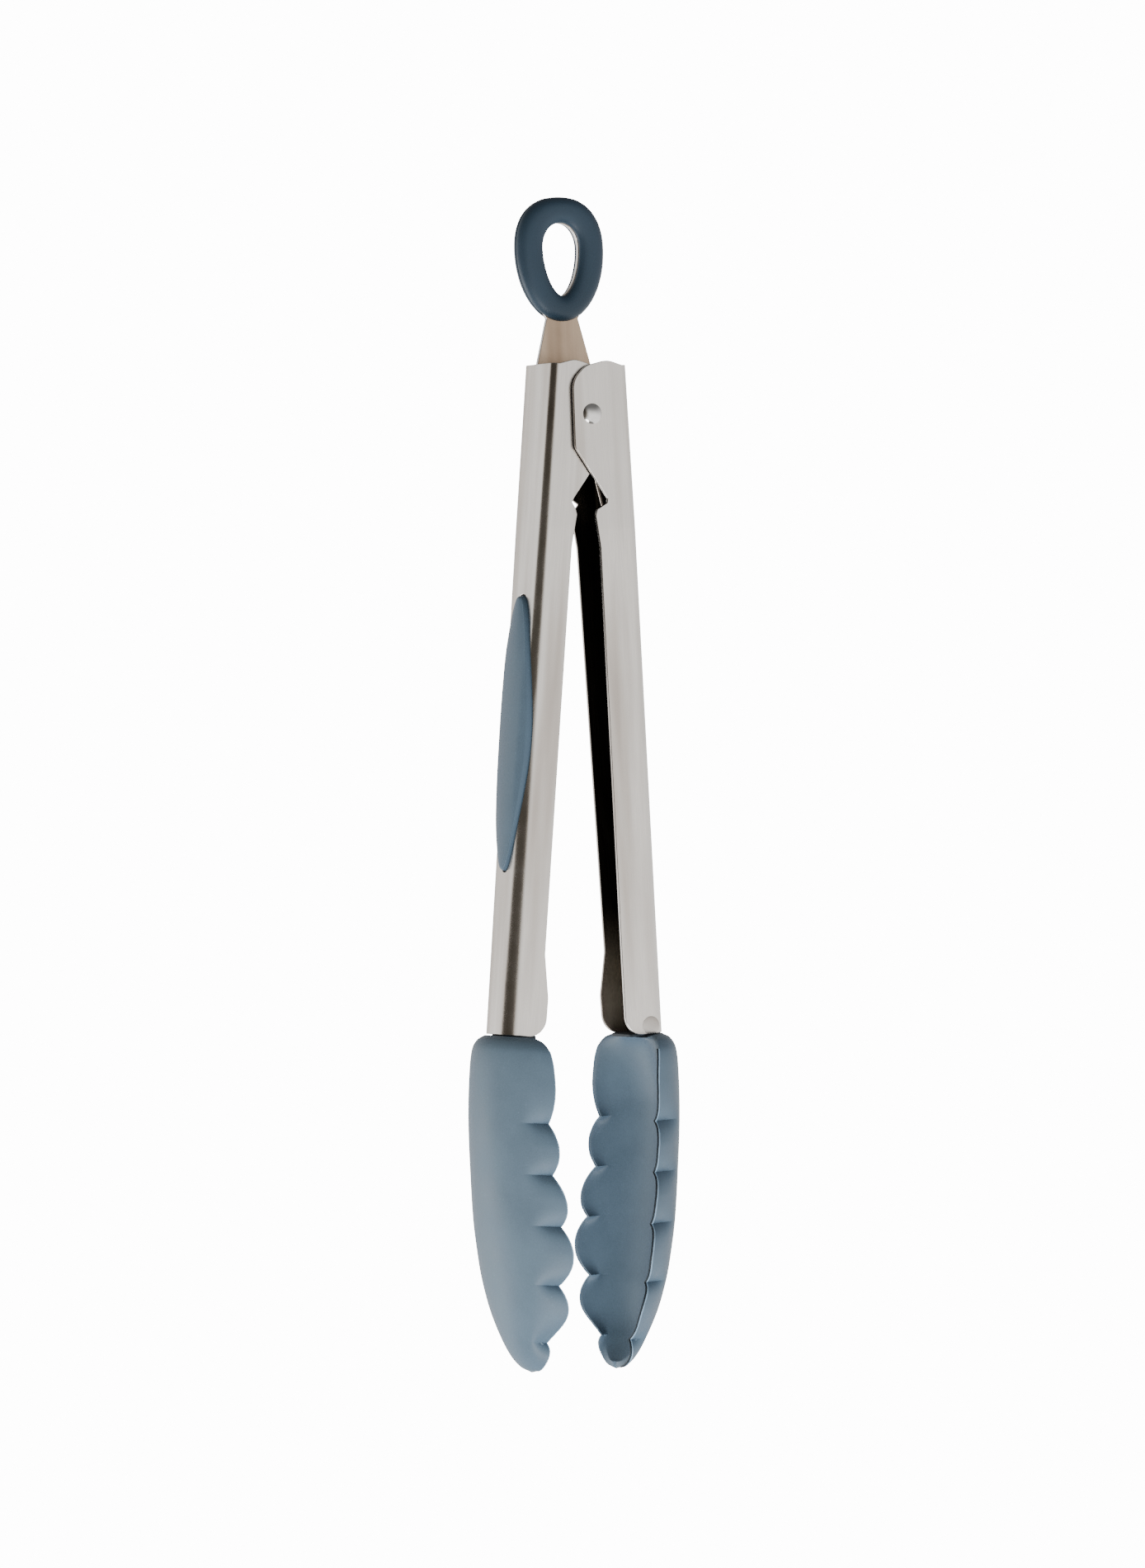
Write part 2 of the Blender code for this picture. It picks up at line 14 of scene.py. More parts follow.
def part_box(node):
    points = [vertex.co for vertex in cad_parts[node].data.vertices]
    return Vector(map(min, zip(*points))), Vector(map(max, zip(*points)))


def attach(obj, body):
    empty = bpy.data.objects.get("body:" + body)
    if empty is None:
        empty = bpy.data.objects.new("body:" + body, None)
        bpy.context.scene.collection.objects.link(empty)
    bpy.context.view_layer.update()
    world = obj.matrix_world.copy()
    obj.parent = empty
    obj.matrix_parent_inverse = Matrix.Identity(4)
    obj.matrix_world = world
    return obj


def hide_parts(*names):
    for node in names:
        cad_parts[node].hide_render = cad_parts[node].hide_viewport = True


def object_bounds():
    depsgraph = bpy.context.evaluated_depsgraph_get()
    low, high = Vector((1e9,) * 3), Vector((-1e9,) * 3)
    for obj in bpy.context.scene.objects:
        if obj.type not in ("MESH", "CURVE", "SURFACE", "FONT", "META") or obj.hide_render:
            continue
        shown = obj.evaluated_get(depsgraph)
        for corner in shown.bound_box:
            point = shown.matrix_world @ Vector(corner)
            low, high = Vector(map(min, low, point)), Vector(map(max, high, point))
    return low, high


bl_info = {
    "name": "Kitchen tongs",
    "version": (1, 0, 0),
    "blender": (4, 5, 0),
    "location": "3D View > Sidebar > Tongs",
    "description": "Builds the visible pieces of spring loaded kitchen tongs",
    "category": "Object",
}

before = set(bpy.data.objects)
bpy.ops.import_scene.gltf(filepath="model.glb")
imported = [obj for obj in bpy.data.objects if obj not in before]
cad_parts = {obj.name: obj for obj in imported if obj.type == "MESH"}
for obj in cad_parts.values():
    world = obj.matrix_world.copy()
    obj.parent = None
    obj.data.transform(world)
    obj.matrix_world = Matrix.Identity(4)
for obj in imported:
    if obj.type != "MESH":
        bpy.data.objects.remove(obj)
CAD_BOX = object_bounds()
RIVET = sum(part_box("pivot_rivet"), Vector()) / 2

MM = 0.001
SIDES = ("left", "right")

# Arms
SPINE_X = 11.4
ARM_TOP = 16.0
ARM_BOTTOM = -159.0
SPINE_TOP = 12.0
# open edge below the hinge, and lower down, at the head, corner radius, notch
SHALLOW_EDGE = {"left": (2.6, 1.9, 0.1, 5.0, 3.4), "right": (3.2, 2.3, 0.1, 5.0, 4.4)}
TAPER_START = -30.0
PIN_HOLE_R = 2.0
WELD_PLACE = (6.7, -156.9)
WELD_R = 2.4

# Grip pad
PAD_SIDE = "left"
PAD_TOP = -47.2
PAD_BOTTOM = -117.4

# Heads: height, outside of the back, edge at notch level, half width at notch level
NOTCHES = (-180.7, -193.6, -206.4, -221.3, -236.2)
CRESTS = (1.3, 2.1, 2.3, 2.9, 3.0, 0.5)
HEAD_TOP = -159.3
HEAD_TIP = -244.2
HEAD_STATIONS = (
    (-159.3, 12.0, 5.7, 11.4),
    (-160.4, 13.8, 4.5, 13.9),
    (-163.0, 15.0, 3.8, 15.9),
    (-170.0, 15.2, 3.2, 16.5),
    (-181.0, 14.5, 2.6, 16.9),
    (-194.0, 12.8, 1.0, 17.7),
    (-206.0, 10.8, -1.5, 19.1),
    (-214.0, 9.1, -2.5, 18.6),
    (-221.0, 7.4, -3.1, 17.2),
    (-229.0, 4.9, -4.3, 14.0),
    (-236.0, 1.8, -4.9, 10.0),
    (-240.5, -1.2, -5.5, 8.2),
    (-243.2, -4.0, -6.0, 4.9),
    (-244.2, -6.1, -6.3, 0.0),
)
CREST_DIRECTION = (-0.75, 0.66)

# Where the painted shade inside the channels gives way to painted light towards the head, as heights in metres
PAINTED_LIGHT_TOP = -0.175
PAINTED_LIGHT_FULL = -0.200

# Hinge and spring
SHANK_R = 1.8
COIL_FAR_Y = 2.9
COIL_NEAR_Y = -6.2
LEG_SLOPE = math.radians(16.0)
LEG_LENGTH = 28.5

# Pull tab
TAB_Y = 5.0
TAB_TRAVEL = 8.5
SLOT_WIDTH = 4.2
LOOP_CENTRE_Z = 42.5
HOLE_CENTRE_Z = 42.8


# ---------------------------------------------------------------- what a user can change

def length(name, description, millimetres, **limits):
    return FloatProperty(name=name, description=description, default=millimetres * MM,
                         unit="LENGTH", precision=5, **limits)


def colour(name, description, value):
    return FloatVectorProperty(name=name, description=description, default=value, size=3,
                               subtype="COLOR", min=0.0, max=1.0)


class TongsArmSettings(bpy.types.PropertyGroup):
    """Sizes and colour of the two channel arms"""
    sheet: length("Sheet", "Thickness of the sheet steel", 0.9)
    tilt: FloatProperty(name="Tilt", description="Lean of each arm from the middle",
                        default=math.radians(4.35), unit="ROTATION")
    inner_width: length("Inner width", "Left arm across its flanges at the hinge", 16.4)
    outer_width: length("Outer width", "Right arm across its flanges at the hinge", 19.0)
    lower_width: length("Lower width", "Both arms across their flanges at the head", 14.0)
    bend_top: length("Upper bend", "Outside bend radius at the hinge", 2.2)
    bend_bottom: length("Lower bend", "Outside bend radius at the head", 4.0)
    edge: length("Edge", "Width of the eased sheet edges", 0.13)
    steel: colour("Steel", "Colour of the brushed steel", (0.69, 0.66, 0.625))
    # This near black colour is painted shade for the inside of the channels, not the steel's own colour.
    inner_shade_steel: colour("Inner steel", "Colour of the unbrushed steel inside the channels", (0.045, 0.040, 0.032))


class TongsPadSettings(bpy.types.PropertyGroup):
    """Sizes and colour of the grip pads"""
    half_width: length("Half width", "Half of the pad's greatest width", 6.8)
    crown: length("Crown", "Height of the pad's middle above its edge", 0.85)
    rim: length("Rim", "Height of the pad's edge above the spine", 1.15)
    groove: length("Groove", "Gap round the pad in the spine", 0.35)
    silicone: colour("Silicone", "Colour of the pads", (0.070, 0.116, 0.170))


class TongsHeadSettings(bpy.types.PropertyGroup):
    """Sizes and colour of the silicone heads"""
    wall: length("Wall", "Thickness behind the hollow", 3.8)
    lip: length("Lip", "Thickness at the parting line", 0.5)
    crease_depth: length("Crease depth", "Depth of each crease at the edge", 2.3)
    crease_reach: FloatProperty(name="Crease reach", description="Share of the half width a crease runs in",
                                default=0.42, min=0.1, max=0.9)
    flash: length("Flash", "Radius of the moulding flash on the parting line", 0.15)
    silicone: colour("Silicone", "Colour of the heads", (0.092, 0.146, 0.207))


class TongsHingeSettings(bpy.types.PropertyGroup):
    """Sizes of the rivet and the torsion spring"""
    head_radius: length("Head radius", "Radius of the rivet's domed heads", 2.6)
    head_height: length("Head height", "Height of the rivet's domed heads", 0.9)
    coil_radius: length("Coil radius", "Middle radius of the spring's coil", 3.4)
    wire_radius: length("Wire radius", "Radius of the spring's wire", 0.55)
    turns: IntProperty(name="Turns", description="Whole turns of the coil", default=5, min=2)
    polished: colour("Polished steel", "Colour of the rivet", (0.66, 0.65, 0.64))


class TongsTabSettings(bpy.types.PropertyGroup):
    """Sizes and colours of the pull tab"""
    plate: length("Plate", "Thickness of the steel plate", 1.2)
    cover: length("Cover", "Height of each half of the loop's cover", 2.1)
    gap: length("Gap", "Clearance between the plate and the covers", 0.3)
    lean: FloatProperty(name="Lean", description="Lean of the tab to the left",
                        default=math.radians(2.4), unit="ROTATION")
    # The plate's warm tan is a painted reflection of something warm, laid on as base colour.
    steel: colour("Steel", "Colour of the plate", (0.50, 0.385, 0.285))
    silicone: colour("Silicone", "Colour of the loop", (0.019, 0.040, 0.066))


class TongsStageSettings(bpy.types.PropertyGroup):
    """Camera, floor and light"""
    azimuth: FloatProperty(name="Azimuth", description="Camera's angle round the tongs",
                           default=math.radians(-29.0), unit="ROTATION")
    distance: FloatProperty(name="Distance", description="Camera to the tongs", default=1.7, unit="LENGTH")
    lens: FloatProperty(name="Lens", description="Focal length in millimetres", default=152.8)
    floor_drop: FloatProperty(name="Floor drop", description="Floor below the tips", default=0.7,
                              unit="LENGTH")


# ---------------------------------------------------------------- curves and outlines

def curve_value(stations, column, z):
    """A smooth value between stations, which run downwards."""
    last = len(stations) - 1
    index = 0
    while index < last - 1 and z < stations[index + 1][0]:
        index += 1
    z0, z1 = stations[index][0], stations[index + 1][0]
    t = min(max((z - z0) / (z1 - z0), 0.0), 1.0)

    def slope(k):
        low, high = max(k - 1, 0), min(k + 1, last)
        return (stations[high][column] - stations[low][column]) / (stations[high][0] - stations[low][0])

    v0, v1 = stations[index][column], stations[index + 1][column]
    m0, m1 = slope(index) * (z1 - z0), slope(index + 1) * (z1 - z0)
    return ((2 * t ** 3 - 3 * t ** 2 + 1) * v0 + (t ** 3 - 2 * t ** 2 + t) * m0
            + (3 * t ** 2 - 2 * t ** 3) * v1 + (t ** 3 - t ** 2) * m1)


def smooth(low, high, value):
    t = min(max((value - low) / (high - low), 0.0), 1.0)
    return t * t * (3 - 2 * t)


def rounded(corners, steps=12):
    """A closed outline from (x, z, radius) corners, each rounded by an arc."""
    outline = []
    for index, (x, z, radius) in enumerate(corners):
        corner = Vector((x, z))
        before = Vector(corners[index - 1][:2]) - corner
        after = Vector(corners[(index + 1) % len(corners)][:2]) - corner
        half = before.angle(after) / 2
        reach = min(radius / math.tan(half), 0.49 * before.length, 0.49 * after.length)
        if reach < 0.01:
            outline.append((x, z))
            continue
        radius = reach * math.tan(half)
        middle = (before.normalized() + after.normalized()).normalized()
        centre = corner + middle * (radius / math.sin(half))
        start = corner + before.normalized() * reach - centre
        turn = start.angle_signed(corner + after.normalized() * reach - centre)
        for step in range(steps + 1):
            arm = start.copy()
            arm.rotate(Matrix.Rotation(-turn * step / steps, 2))
            outline.append(tuple(centre + arm))
    return outline


def egg(half_width, centre, up, down, power_up, power_down, steps):
    """A closed egg outline, as powers of sine and cosine."""
    outline = []
    for k in range(steps):
        angle = 2 * math.pi * k / steps
        c, s = math.cos(angle), math.sin(angle)
        power = 2 / (power_up if s >= 0 else power_down)
        reach = up if s >= 0 else down
        outline.append((half_width * math.copysign(abs(c) ** power, c),
                        centre + reach * math.copysign(abs(s) ** power, s)))
    return outline


# ---------------------------------------------------------------- meshes

def side_matrix(side, tilt):
    """From a right arm's own frame to the world. The left arm is the right one turned about Z."""
    turn = Matrix.Rotation(math.pi, 4, "Z") if side == "left" else Matrix.Identity(4)
    lean = Matrix.Rotation(tilt if side == "left" else -tilt, 4, "Y")
    return Matrix.Translation(RIVET) @ lean @ turn @ Matrix.Scale(MM, 4)


def rivet_matrix(lean=0.0):
    return Matrix.Translation(RIVET) @ Matrix.Rotation(-lean, 4, "Y") @ Matrix.Scale(MM, 4)


def add_loft(bm, loops, caps=True):
    """Joins closed loops of equal length into a skin, with flat ends or as a ring."""
    rows = [[bm.verts.new(p) for p in loop] for loop in loops]
    count = len(rows[0])
    pairs = list(zip(rows, rows[1:]))
    if not caps:
        pairs.append((rows[-1], rows[0]))
    for upper, lower in pairs:
        for i in range(count):
            j = (i + 1) % count
            bm.faces.new((upper[i], upper[j], lower[j], lower[i]))
    if caps:
        bm.faces.new(rows[0][::-1])
        bm.faces.new(rows[-1])


def prism_mesh(outline, low, high, name):
    bm = bmesh.new()
    add_loft(bm, [[(x, y, z) for x, z in outline] for y in (low, high)])
    return to_mesh(bm, name)


def to_mesh(bm, name, merge=1e-4):
    bmesh.ops.remove_doubles(bm, verts=bm.verts, dist=merge)
    bmesh.ops.dissolve_degenerate(bm, edges=bm.edges, dist=merge / 2)
    bmesh.ops.recalc_face_normals(bm, faces=bm.faces)
    mesh = bpy.data.meshes.new(name)
    bm.to_mesh(mesh)
    bm.free()
    return mesh


def add_object(name, data, material=None):
    obj = bpy.data.objects.new(name, data)
    bpy.context.scene.collection.objects.link(obj)
    if material is not None:
        data.materials.append(material)
    return obj


def settle(obj, matrix, sharp=35.0):
    """Turns an object and its modifiers into a plain mesh at the origin, placed by matrix."""
    depsgraph = bpy.context.evaluated_depsgraph_get()
    mesh = bpy.data.meshes.new_from_object(obj.evaluated_get(depsgraph), depsgraph=depsgraph)
    mesh.name = obj.name
    materials = [slot.material for slot in obj.material_slots]
    name = obj.name
    bpy.data.objects.remove(obj)
    mesh.transform(matrix)
    if not mesh.has_custom_normals:
        mesh.shade_smooth()
        mesh.set_sharp_from_angle(angle=math.radians(sharp))
    if not mesh.materials:
        for material in materials:
            mesh.materials.append(material)
    return add_object(name, mesh)


def belongs(obj, body, slot, *nodes):
    """Hangs a finished piece on its body and hides the nodes it stands for. The slot, its finish, is not used."""
    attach(obj, body)
    if nodes:
        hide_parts(*nodes)
    return obj


def carve(obj, cutters):
    for mesh in cutters:
        cutter = add_object(mesh.name, mesh)
        modifier = obj.modifiers.new(mesh.name, "BOOLEAN")
        modifier.operation = "DIFFERENCE"
        modifier.solver = "EXACT"
        modifier.object = cutter
    depsgraph = bpy.context.evaluated_depsgraph_get()
    carved = bpy.data.meshes.new_from_object(obj.evaluated_get(depsgraph), depsgraph=depsgraph)
    for modifier in list(obj.modifiers):
        cutter = modifier.object
        obj.modifiers.remove(modifier)
        bpy.data.objects.remove(cutter)
    obj.data = carved


def ease_edges(obj, width, segments=2):
    obj.data.shade_smooth()
    obj.data.set_sharp_from_angle(angle=math.radians(35.0))
    bevel = obj.modifiers.new("Eased edges", "BEVEL")
    bevel.width = width
    bevel.segments = segments
    bevel.limit_method = "ANGLE"
    bevel.angle_limit = math.radians(40.0)
    bevel.use_clamp_overlap = False
    flat = obj.modifiers.new("Flat faces stay flat", "WEIGHTED_NORMAL")
    flat.keep_sharp = True
    flat.weight = 100
    bevel.miter_outer = "MITER_ARC"


def turned_mesh(name, profile, steps=96):
    """A profile of (radius, y) points turned about the rivet axis. Points at radius 0 are poles."""
    bm = bmesh.new()
    rings = []
    for r, y in profile:
        if r < 1e-6:
            rings.append([bm.verts.new((0.0, y, 0.0))])
        else:
            rings.append([bm.verts.new((r * math.cos(2 * math.pi * k / steps), y,
                                        r * math.sin(2 * math.pi * k / steps)))
                          for k in range(steps)])
    for a, b in zip(rings, rings[1:]):
        for k in range(steps):
            j = (k + 1) % steps
            corners = [a[k % len(a)], a[j % len(a)], b[j % len(b)], b[k % len(b)]]
            bm.faces.new(list(dict.fromkeys(corners)))
    return to_mesh(bm, name)


# ---------------------------------------------------------------- geometry node trees

def node_tree(name, sockets):
    """A Geometry Nodes group with a geometry input and output and the named value inputs."""
    tree = bpy.data.node_groups.new(name, "GeometryNodeTree")
    tree.interface.new_socket("Geometry", in_out="INPUT", socket_type="NodeSocketGeometry")
    tree.interface.new_socket("Geometry", in_out="OUTPUT", socket_type="NodeSocketGeometry")
    for socket, kind in sockets:
        tree.interface.new_socket(socket, in_out="INPUT", socket_type=kind)
    return tree, tree.nodes.new("NodeGroupInput"), tree.nodes.new("NodeGroupOutput")


def finish_tree(tree, given, out, geometry):
    """Ends a tree in smooth shading, Realize Instances and Set Material."""
    shade = tree.nodes.new("GeometryNodeSetShadeSmooth")
    realize = tree.nodes.new("GeometryNodeRealizeInstances")
    paint = tree.nodes.new("GeometryNodeSetMaterial")
    tree.links.new(geometry, shade.inputs["Geometry"])
    tree.links.new(shade.outputs[0], realize.inputs[0])
    tree.links.new(realize.outputs[0], paint.inputs["Geometry"])
    tree.links.new(given.outputs["Material"], paint.inputs["Material"])
    tree.links.new(paint.outputs[0], out.inputs[0])
    return tree


def wire_tree():
    """Wire or bead along a curve, with an uneven thickness where that is wanted."""
    tree, given, out = node_tree("wire_along_path", (
        ("Radius", "NodeSocketFloat"), ("Sides", "NodeSocketInt"),
        ("Unevenness", "NodeSocketFloat"), ("Lumps", "NodeSocketFloat"),
        ("Material", "NodeSocketMaterial")))
    nodes, links = tree.nodes, tree.links
    noise = nodes.new("ShaderNodeTexNoise")
    links.new(given.outputs["Lumps"], noise.inputs["Scale"])
    spread = nodes.new("ShaderNodeMath")
    spread.operation = "MULTIPLY_ADD"
    centred = nodes.new("ShaderNodeMath")
    centred.operation = "SUBTRACT"
    centred.inputs[1].default_value = 0.5
    links.new(noise.outputs["Fac"], centred.inputs[0])
    links.new(centred.outputs[0], spread.inputs[0])
    links.new(given.outputs["Unevenness"], spread.inputs[1])
    spread.inputs[2].default_value = 1.0
    thickness = nodes.new("GeometryNodeSetCurveRadius")
    links.new(given.outputs["Geometry"], thickness.inputs["Curve"])
    links.new(spread.outputs[0], thickness.inputs["Radius"])
    circle = nodes.new("GeometryNodeCurvePrimitiveCircle")
    links.new(given.outputs["Sides"], circle.inputs["Resolution"])
    links.new(given.outputs["Radius"], circle.inputs["Radius"])
    sweep = nodes.new("GeometryNodeCurveToMesh")
    links.new(thickness.outputs[0], sweep.inputs["Curve"])
    links.new(circle.outputs[0], sweep.inputs["Profile Curve"])
    if "Scale" in sweep.inputs:
        radius = nodes.new("GeometryNodeInputRadius")
        links.new(radius.outputs[0], sweep.inputs["Scale"])
    sweep.inputs["Fill Caps"].default_value = True
    return finish_tree(tree, given, out, sweep.outputs[0])


def coil_tree():
    """A close coil about the Z axis, standing on the origin."""
    tree, given, out = node_tree("spring_coil", (
        ("Coil radius", "NodeSocketFloat"), ("Wire radius", "NodeSocketFloat"),
        ("Turns", "NodeSocketFloat"), ("Height", "NodeSocketFloat"),
        ("Material", "NodeSocketMaterial")))
    nodes, links = tree.nodes, tree.links
    spiral = nodes.new("GeometryNodeCurveSpiral")
    spiral.inputs["Resolution"].default_value = 48
    links.new(given.outputs["Turns"], spiral.inputs["Rotations"])
    links.new(given.outputs["Coil radius"], spiral.inputs["Start Radius"])
    links.new(given.outputs["Coil radius"], spiral.inputs["End Radius"])
    links.new(given.outputs["Height"], spiral.inputs["Height"])
    circle = nodes.new("GeometryNodeCurvePrimitiveCircle")
    circle.inputs["Resolution"].default_value = 14
    links.new(given.outputs["Wire radius"], circle.inputs["Radius"])
    sweep = nodes.new("GeometryNodeCurveToMesh")
    sweep.inputs["Fill Caps"].default_value = True
    links.new(spiral.outputs[0], sweep.inputs["Curve"])
    links.new(circle.outputs[0], sweep.inputs["Profile Curve"])
    return finish_tree(tree, given, out, sweep.outputs[0])


def run_tree(obj, tree, values):
    """Adds the tree to obj and sets its inputs by identifier."""
    modifier = obj.modifiers.new(tree.name, "NODES")
    modifier.node_group = tree
    for item in tree.interface.items_tree:
        if item.item_type == "SOCKET" and item.in_out == "INPUT" and item.name in values:
            modifier[item.identifier] = values[item.name]


def wire_object(name, points, radius, sides, material, matrix, unevenness=0.0, lumps=1.0, closed=False):
    data = bpy.data.curves.new(name, "CURVE")
    data.dimensions = "3D"
    spline = data.splines.new("POLY")
    spline.points.add(len(points) - 1)
    for point, place in zip(spline.points, points):
        point.co = (*place, 1.0)
    spline.use_cyclic_u = closed
    obj = add_object(name, data)
    tree = bpy.data.node_groups.get("wire_along_path") or wire_tree()
    run_tree(obj, tree, {"Radius": radius, "Sides": sides, "Unevenness": unevenness, "Lumps": lumps,
                         "Material": material})
    return settle(obj, matrix)


# ---------------------------------------------------------------- materials

class Paint:
    """A Principled material and short calls for the textures that drive it."""

    def __init__(self, name, metallic=0.0, **sockets):
        self.material = bpy.data.materials.new(name)
        self.material.use_nodes = True
        self.nodes = self.material.node_tree.nodes
        self.links = self.material.node_tree.links
        self.shader = self.nodes["Principled BSDF"]
        self.shader.inputs["Metallic"].default_value = metallic
        for socket, value in sockets.items():
            self.shader.inputs[socket.replace("_", " ")].default_value = value
        self.place = self.nodes.new("ShaderNodeTexCoord").outputs["Object"]

    def mapped(self, turn=0.0, scale=(1.0, 1.0, 1.0)):
        """Object coordinates turned about Y, then stretched."""
        turned = self.nodes.new("ShaderNodeMapping")
        turned.inputs["Rotation"].default_value = (0.0, turn, 0.0)
        stretched = self.nodes.new("ShaderNodeMapping")
        stretched.inputs["Scale"].default_value = scale
        self.links.new(self.place, turned.inputs["Vector"])
        self.links.new(turned.outputs[0], stretched.inputs["Vector"])
        return stretched.outputs[0]

    def noise(self, vector, scale, detail=3.0, roughness=0.55):
        node = self.nodes.new("ShaderNodeTexNoise")
        node.inputs["Scale"].default_value = scale
        node.inputs["Detail"].default_value = detail
        node.inputs["Roughness"].default_value = roughness
        self.links.new(vector, node.inputs["Vector"])
        return node.outputs["Fac"]

    def ranged(self, value, low, high, to_low, to_high):
        node = self.nodes.new("ShaderNodeMapRange")
        for socket, number in zip(("From Min", "From Max", "To Min", "To Max"),
                                  (low, high, to_low, to_high)):
            node.inputs[socket].default_value = number
        self.links.new(value, node.inputs["Value"])
        return node.outputs[0]

    def mixed(self, share, first, second):
        """A colour between two, each a colour or another mix."""
        node = self.nodes.new("ShaderNodeMix")
        node.data_type = "RGBA"
        self.links.new(share, node.inputs["Factor"])
        for socket, value in ((node.inputs[6], first), (node.inputs[7], second)):
            if isinstance(value, bpy.types.NodeSocket):
                self.links.new(value, socket)
            else:
                socket.default_value = (*value, 1.0)
        return node.outputs[2]

    def bump(self, height, distance, strength, under=None):
        node = self.nodes.new("ShaderNodeBump")
        node.inputs["Strength"].default_value = strength
        node.inputs["Distance"].default_value = distance
        self.links.new(height, node.inputs["Height"])
        if under is not None:
            self.links.new(under, node.inputs["Normal"])
        return node.outputs[0]

    def finish(self, base, roughness, normal):
        self.links.new(base, self.shader.inputs["Base Color"])
        self.links.new(roughness, self.shader.inputs["Roughness"])
        self.links.new(normal, self.shader.inputs["Normal"])
        return self.material


def tint(rgb, share):
    return tuple(min(1.0, value * share) for value in rgb)


def brushed_steel(name, rgb, turn, roughness=0.26):
    """Steel with fine grain along the piece, faint broad bands and small handling marks."""
    paint = Paint(name, metallic=1.0)
    grain = paint.noise(paint.mapped(turn, (1.0, 1.0, 0.012)), 5200.0, 4.0, 0.7)
    bands = paint.noise(paint.mapped(turn, (1.0, 1.0, 0.06)), 420.0, 3.0)
    marks = paint.noise(paint.mapped(turn), 150.0, 5.0, 0.6)
    fine = paint.mixed(paint.ranged(grain, 0.3, 0.7, 0.0, 1.0), tint(rgb, 0.90), tint(rgb, 1.09))
    streaked = paint.mixed(paint.ranged(bands, 0.35, 0.65, 0.0, 0.55), fine, tint(rgb, 0.94))
    broad = paint.noise(paint.mapped(turn, (1.0, 1.0, 0.07)), 130.0, 2.0)
    worn = (rgb[0] * 0.66, rgb[1] * 0.62, rgb[2] * 0.59)
    base = paint.mixed(paint.ranged(broad, 0.44, 0.66, 0.0, 1.0), streaked, worn)
    rough = paint.ranged(marks, 0.3, 0.7, roughness - 0.04, roughness + 0.05)
    relief = paint.bump(bands, 0.00006, 0.10)
    return paint.finish(base, rough, paint.bump(grain, 0.000025, 0.22, relief))


def painted_shade_steel(name, rgb, turn):
    """Painted shade inside a channel: the steel is painted near black, and painted light makes it brighter towards
    the head.
    """
    paint = Paint(name, metallic=1.0)
    grain = paint.noise(paint.mapped(turn, (1.0, 1.0, 0.02)), 2600.0, 4.0, 0.7)
    height = paint.nodes.new("ShaderNodeSeparateXYZ")
    paint.links.new(paint.place, height.inputs[0])
    # Painted light: below these heights the inside turns bright towards the head.
    painted_light = paint.ranged(height.outputs["Z"], PAINTED_LIGHT_TOP, PAINTED_LIGHT_FULL, 0.0, 1.0)
    painted_shade_grain = paint.mixed(paint.ranged(grain, 0.3, 0.7, 0.0, 1.0), tint(rgb, 0.7), tint(rgb, 1.3))
    # The bright colour is painted light; the near black grain above it is painted shade.
    base = paint.mixed(painted_light, painted_shade_grain, (0.42, 0.385, 0.33))
    rough = paint.ranged(grain, 0.3, 0.7, 0.30, 0.42)
    return paint.finish(base, rough, paint.bump(grain, 0.00002, 0.2))


def silicone(name, rgb, roughness=0.52):
    """Matt silicone with a fine moulded texture, a faint bloom and pale dust specks."""
    paint = Paint(name, Sheen_Weight=0.03, Sheen_Roughness=0.5, Specular_IOR_Level=0.32)
    speckle = paint.noise(paint.mapped(), 3800.0, 2.0, 0.6)
    bloom = paint.noise(paint.mapped(), 95.0, 4.0, 0.55)
    dust = paint.noise(paint.mapped(), 1500.0, 2.0, 0.5)
    cloudy = paint.mixed(paint.ranged(bloom, 0.3, 0.7, 0.0, 1.0), tint(rgb, 0.92), tint(rgb, 1.08))
    grainy = paint.mixed(paint.ranged(speckle, 0.35, 0.75, 0.0, 0.35), cloudy, tint(rgb, 1.35))
    base = paint.mixed(paint.ranged(dust, 0.70, 0.80, 0.0, 0.30), grainy, tint(rgb, 2.2))
    rough = paint.ranged(bloom, 0.3, 0.7, roughness - 0.05, roughness + 0.06)
    relief = paint.bump(bloom, 0.0002, 0.12)
    return paint.finish(base, rough, paint.bump(speckle, 0.00005, 0.30, relief))


def polished_steel(name, rgb):
    """Bright rivet steel with faint rings of wear and hairline scratches."""
    paint = Paint(name, metallic=1.0)
    hair = paint.noise(paint.mapped(0.6, (1.0, 1.0, 0.05)), 4200.0, 3.0, 0.7)
    wear = paint.noise(paint.mapped(), 900.0, 3.0)
    base = paint.mixed(paint.ranged(wear, 0.35, 0.65, 0.0, 1.0), tint(rgb, 0.95), tint(rgb, 1.04))
    rough = paint.ranged(wear, 0.3, 0.7, 0.10, 0.19)
    return paint.finish(base, rough, paint.bump(hair, 0.00001, 0.12))


def spring_wire(name, rgb):
    """Drawn wire with darker oil staining."""
    paint = Paint(name, metallic=1.0)
    draw = paint.noise(paint.mapped(0.0, (1.0, 1.0, 0.04)), 6000.0, 3.0, 0.7)
    stain = paint.noise(paint.mapped(), 500.0, 4.0)
    base = paint.mixed(paint.ranged(stain, 0.35, 0.65, 0.0, 1.0), tint(rgb, 0.72), tint(rgb, 1.1))
    rough = paint.ranged(stain, 0.3, 0.7, 0.22, 0.40)
    return paint.finish(base, rough, paint.bump(draw, 0.00002, 0.2))


def black_nylon(name, rgb):
    """Moulded nylon with a fine satin grain."""
    paint = Paint(name)
    grain = paint.noise(paint.mapped(), 2600.0, 3.0)
    base = paint.mixed(paint.ranged(grain, 0.35, 0.65, 0.0, 1.0), tint(rgb, 0.8), tint(rgb, 1.3))
    rough = paint.ranged(grain, 0.3, 0.7, 0.42, 0.55)
    return paint.finish(base, rough, paint.bump(grain, 0.00004, 0.2))


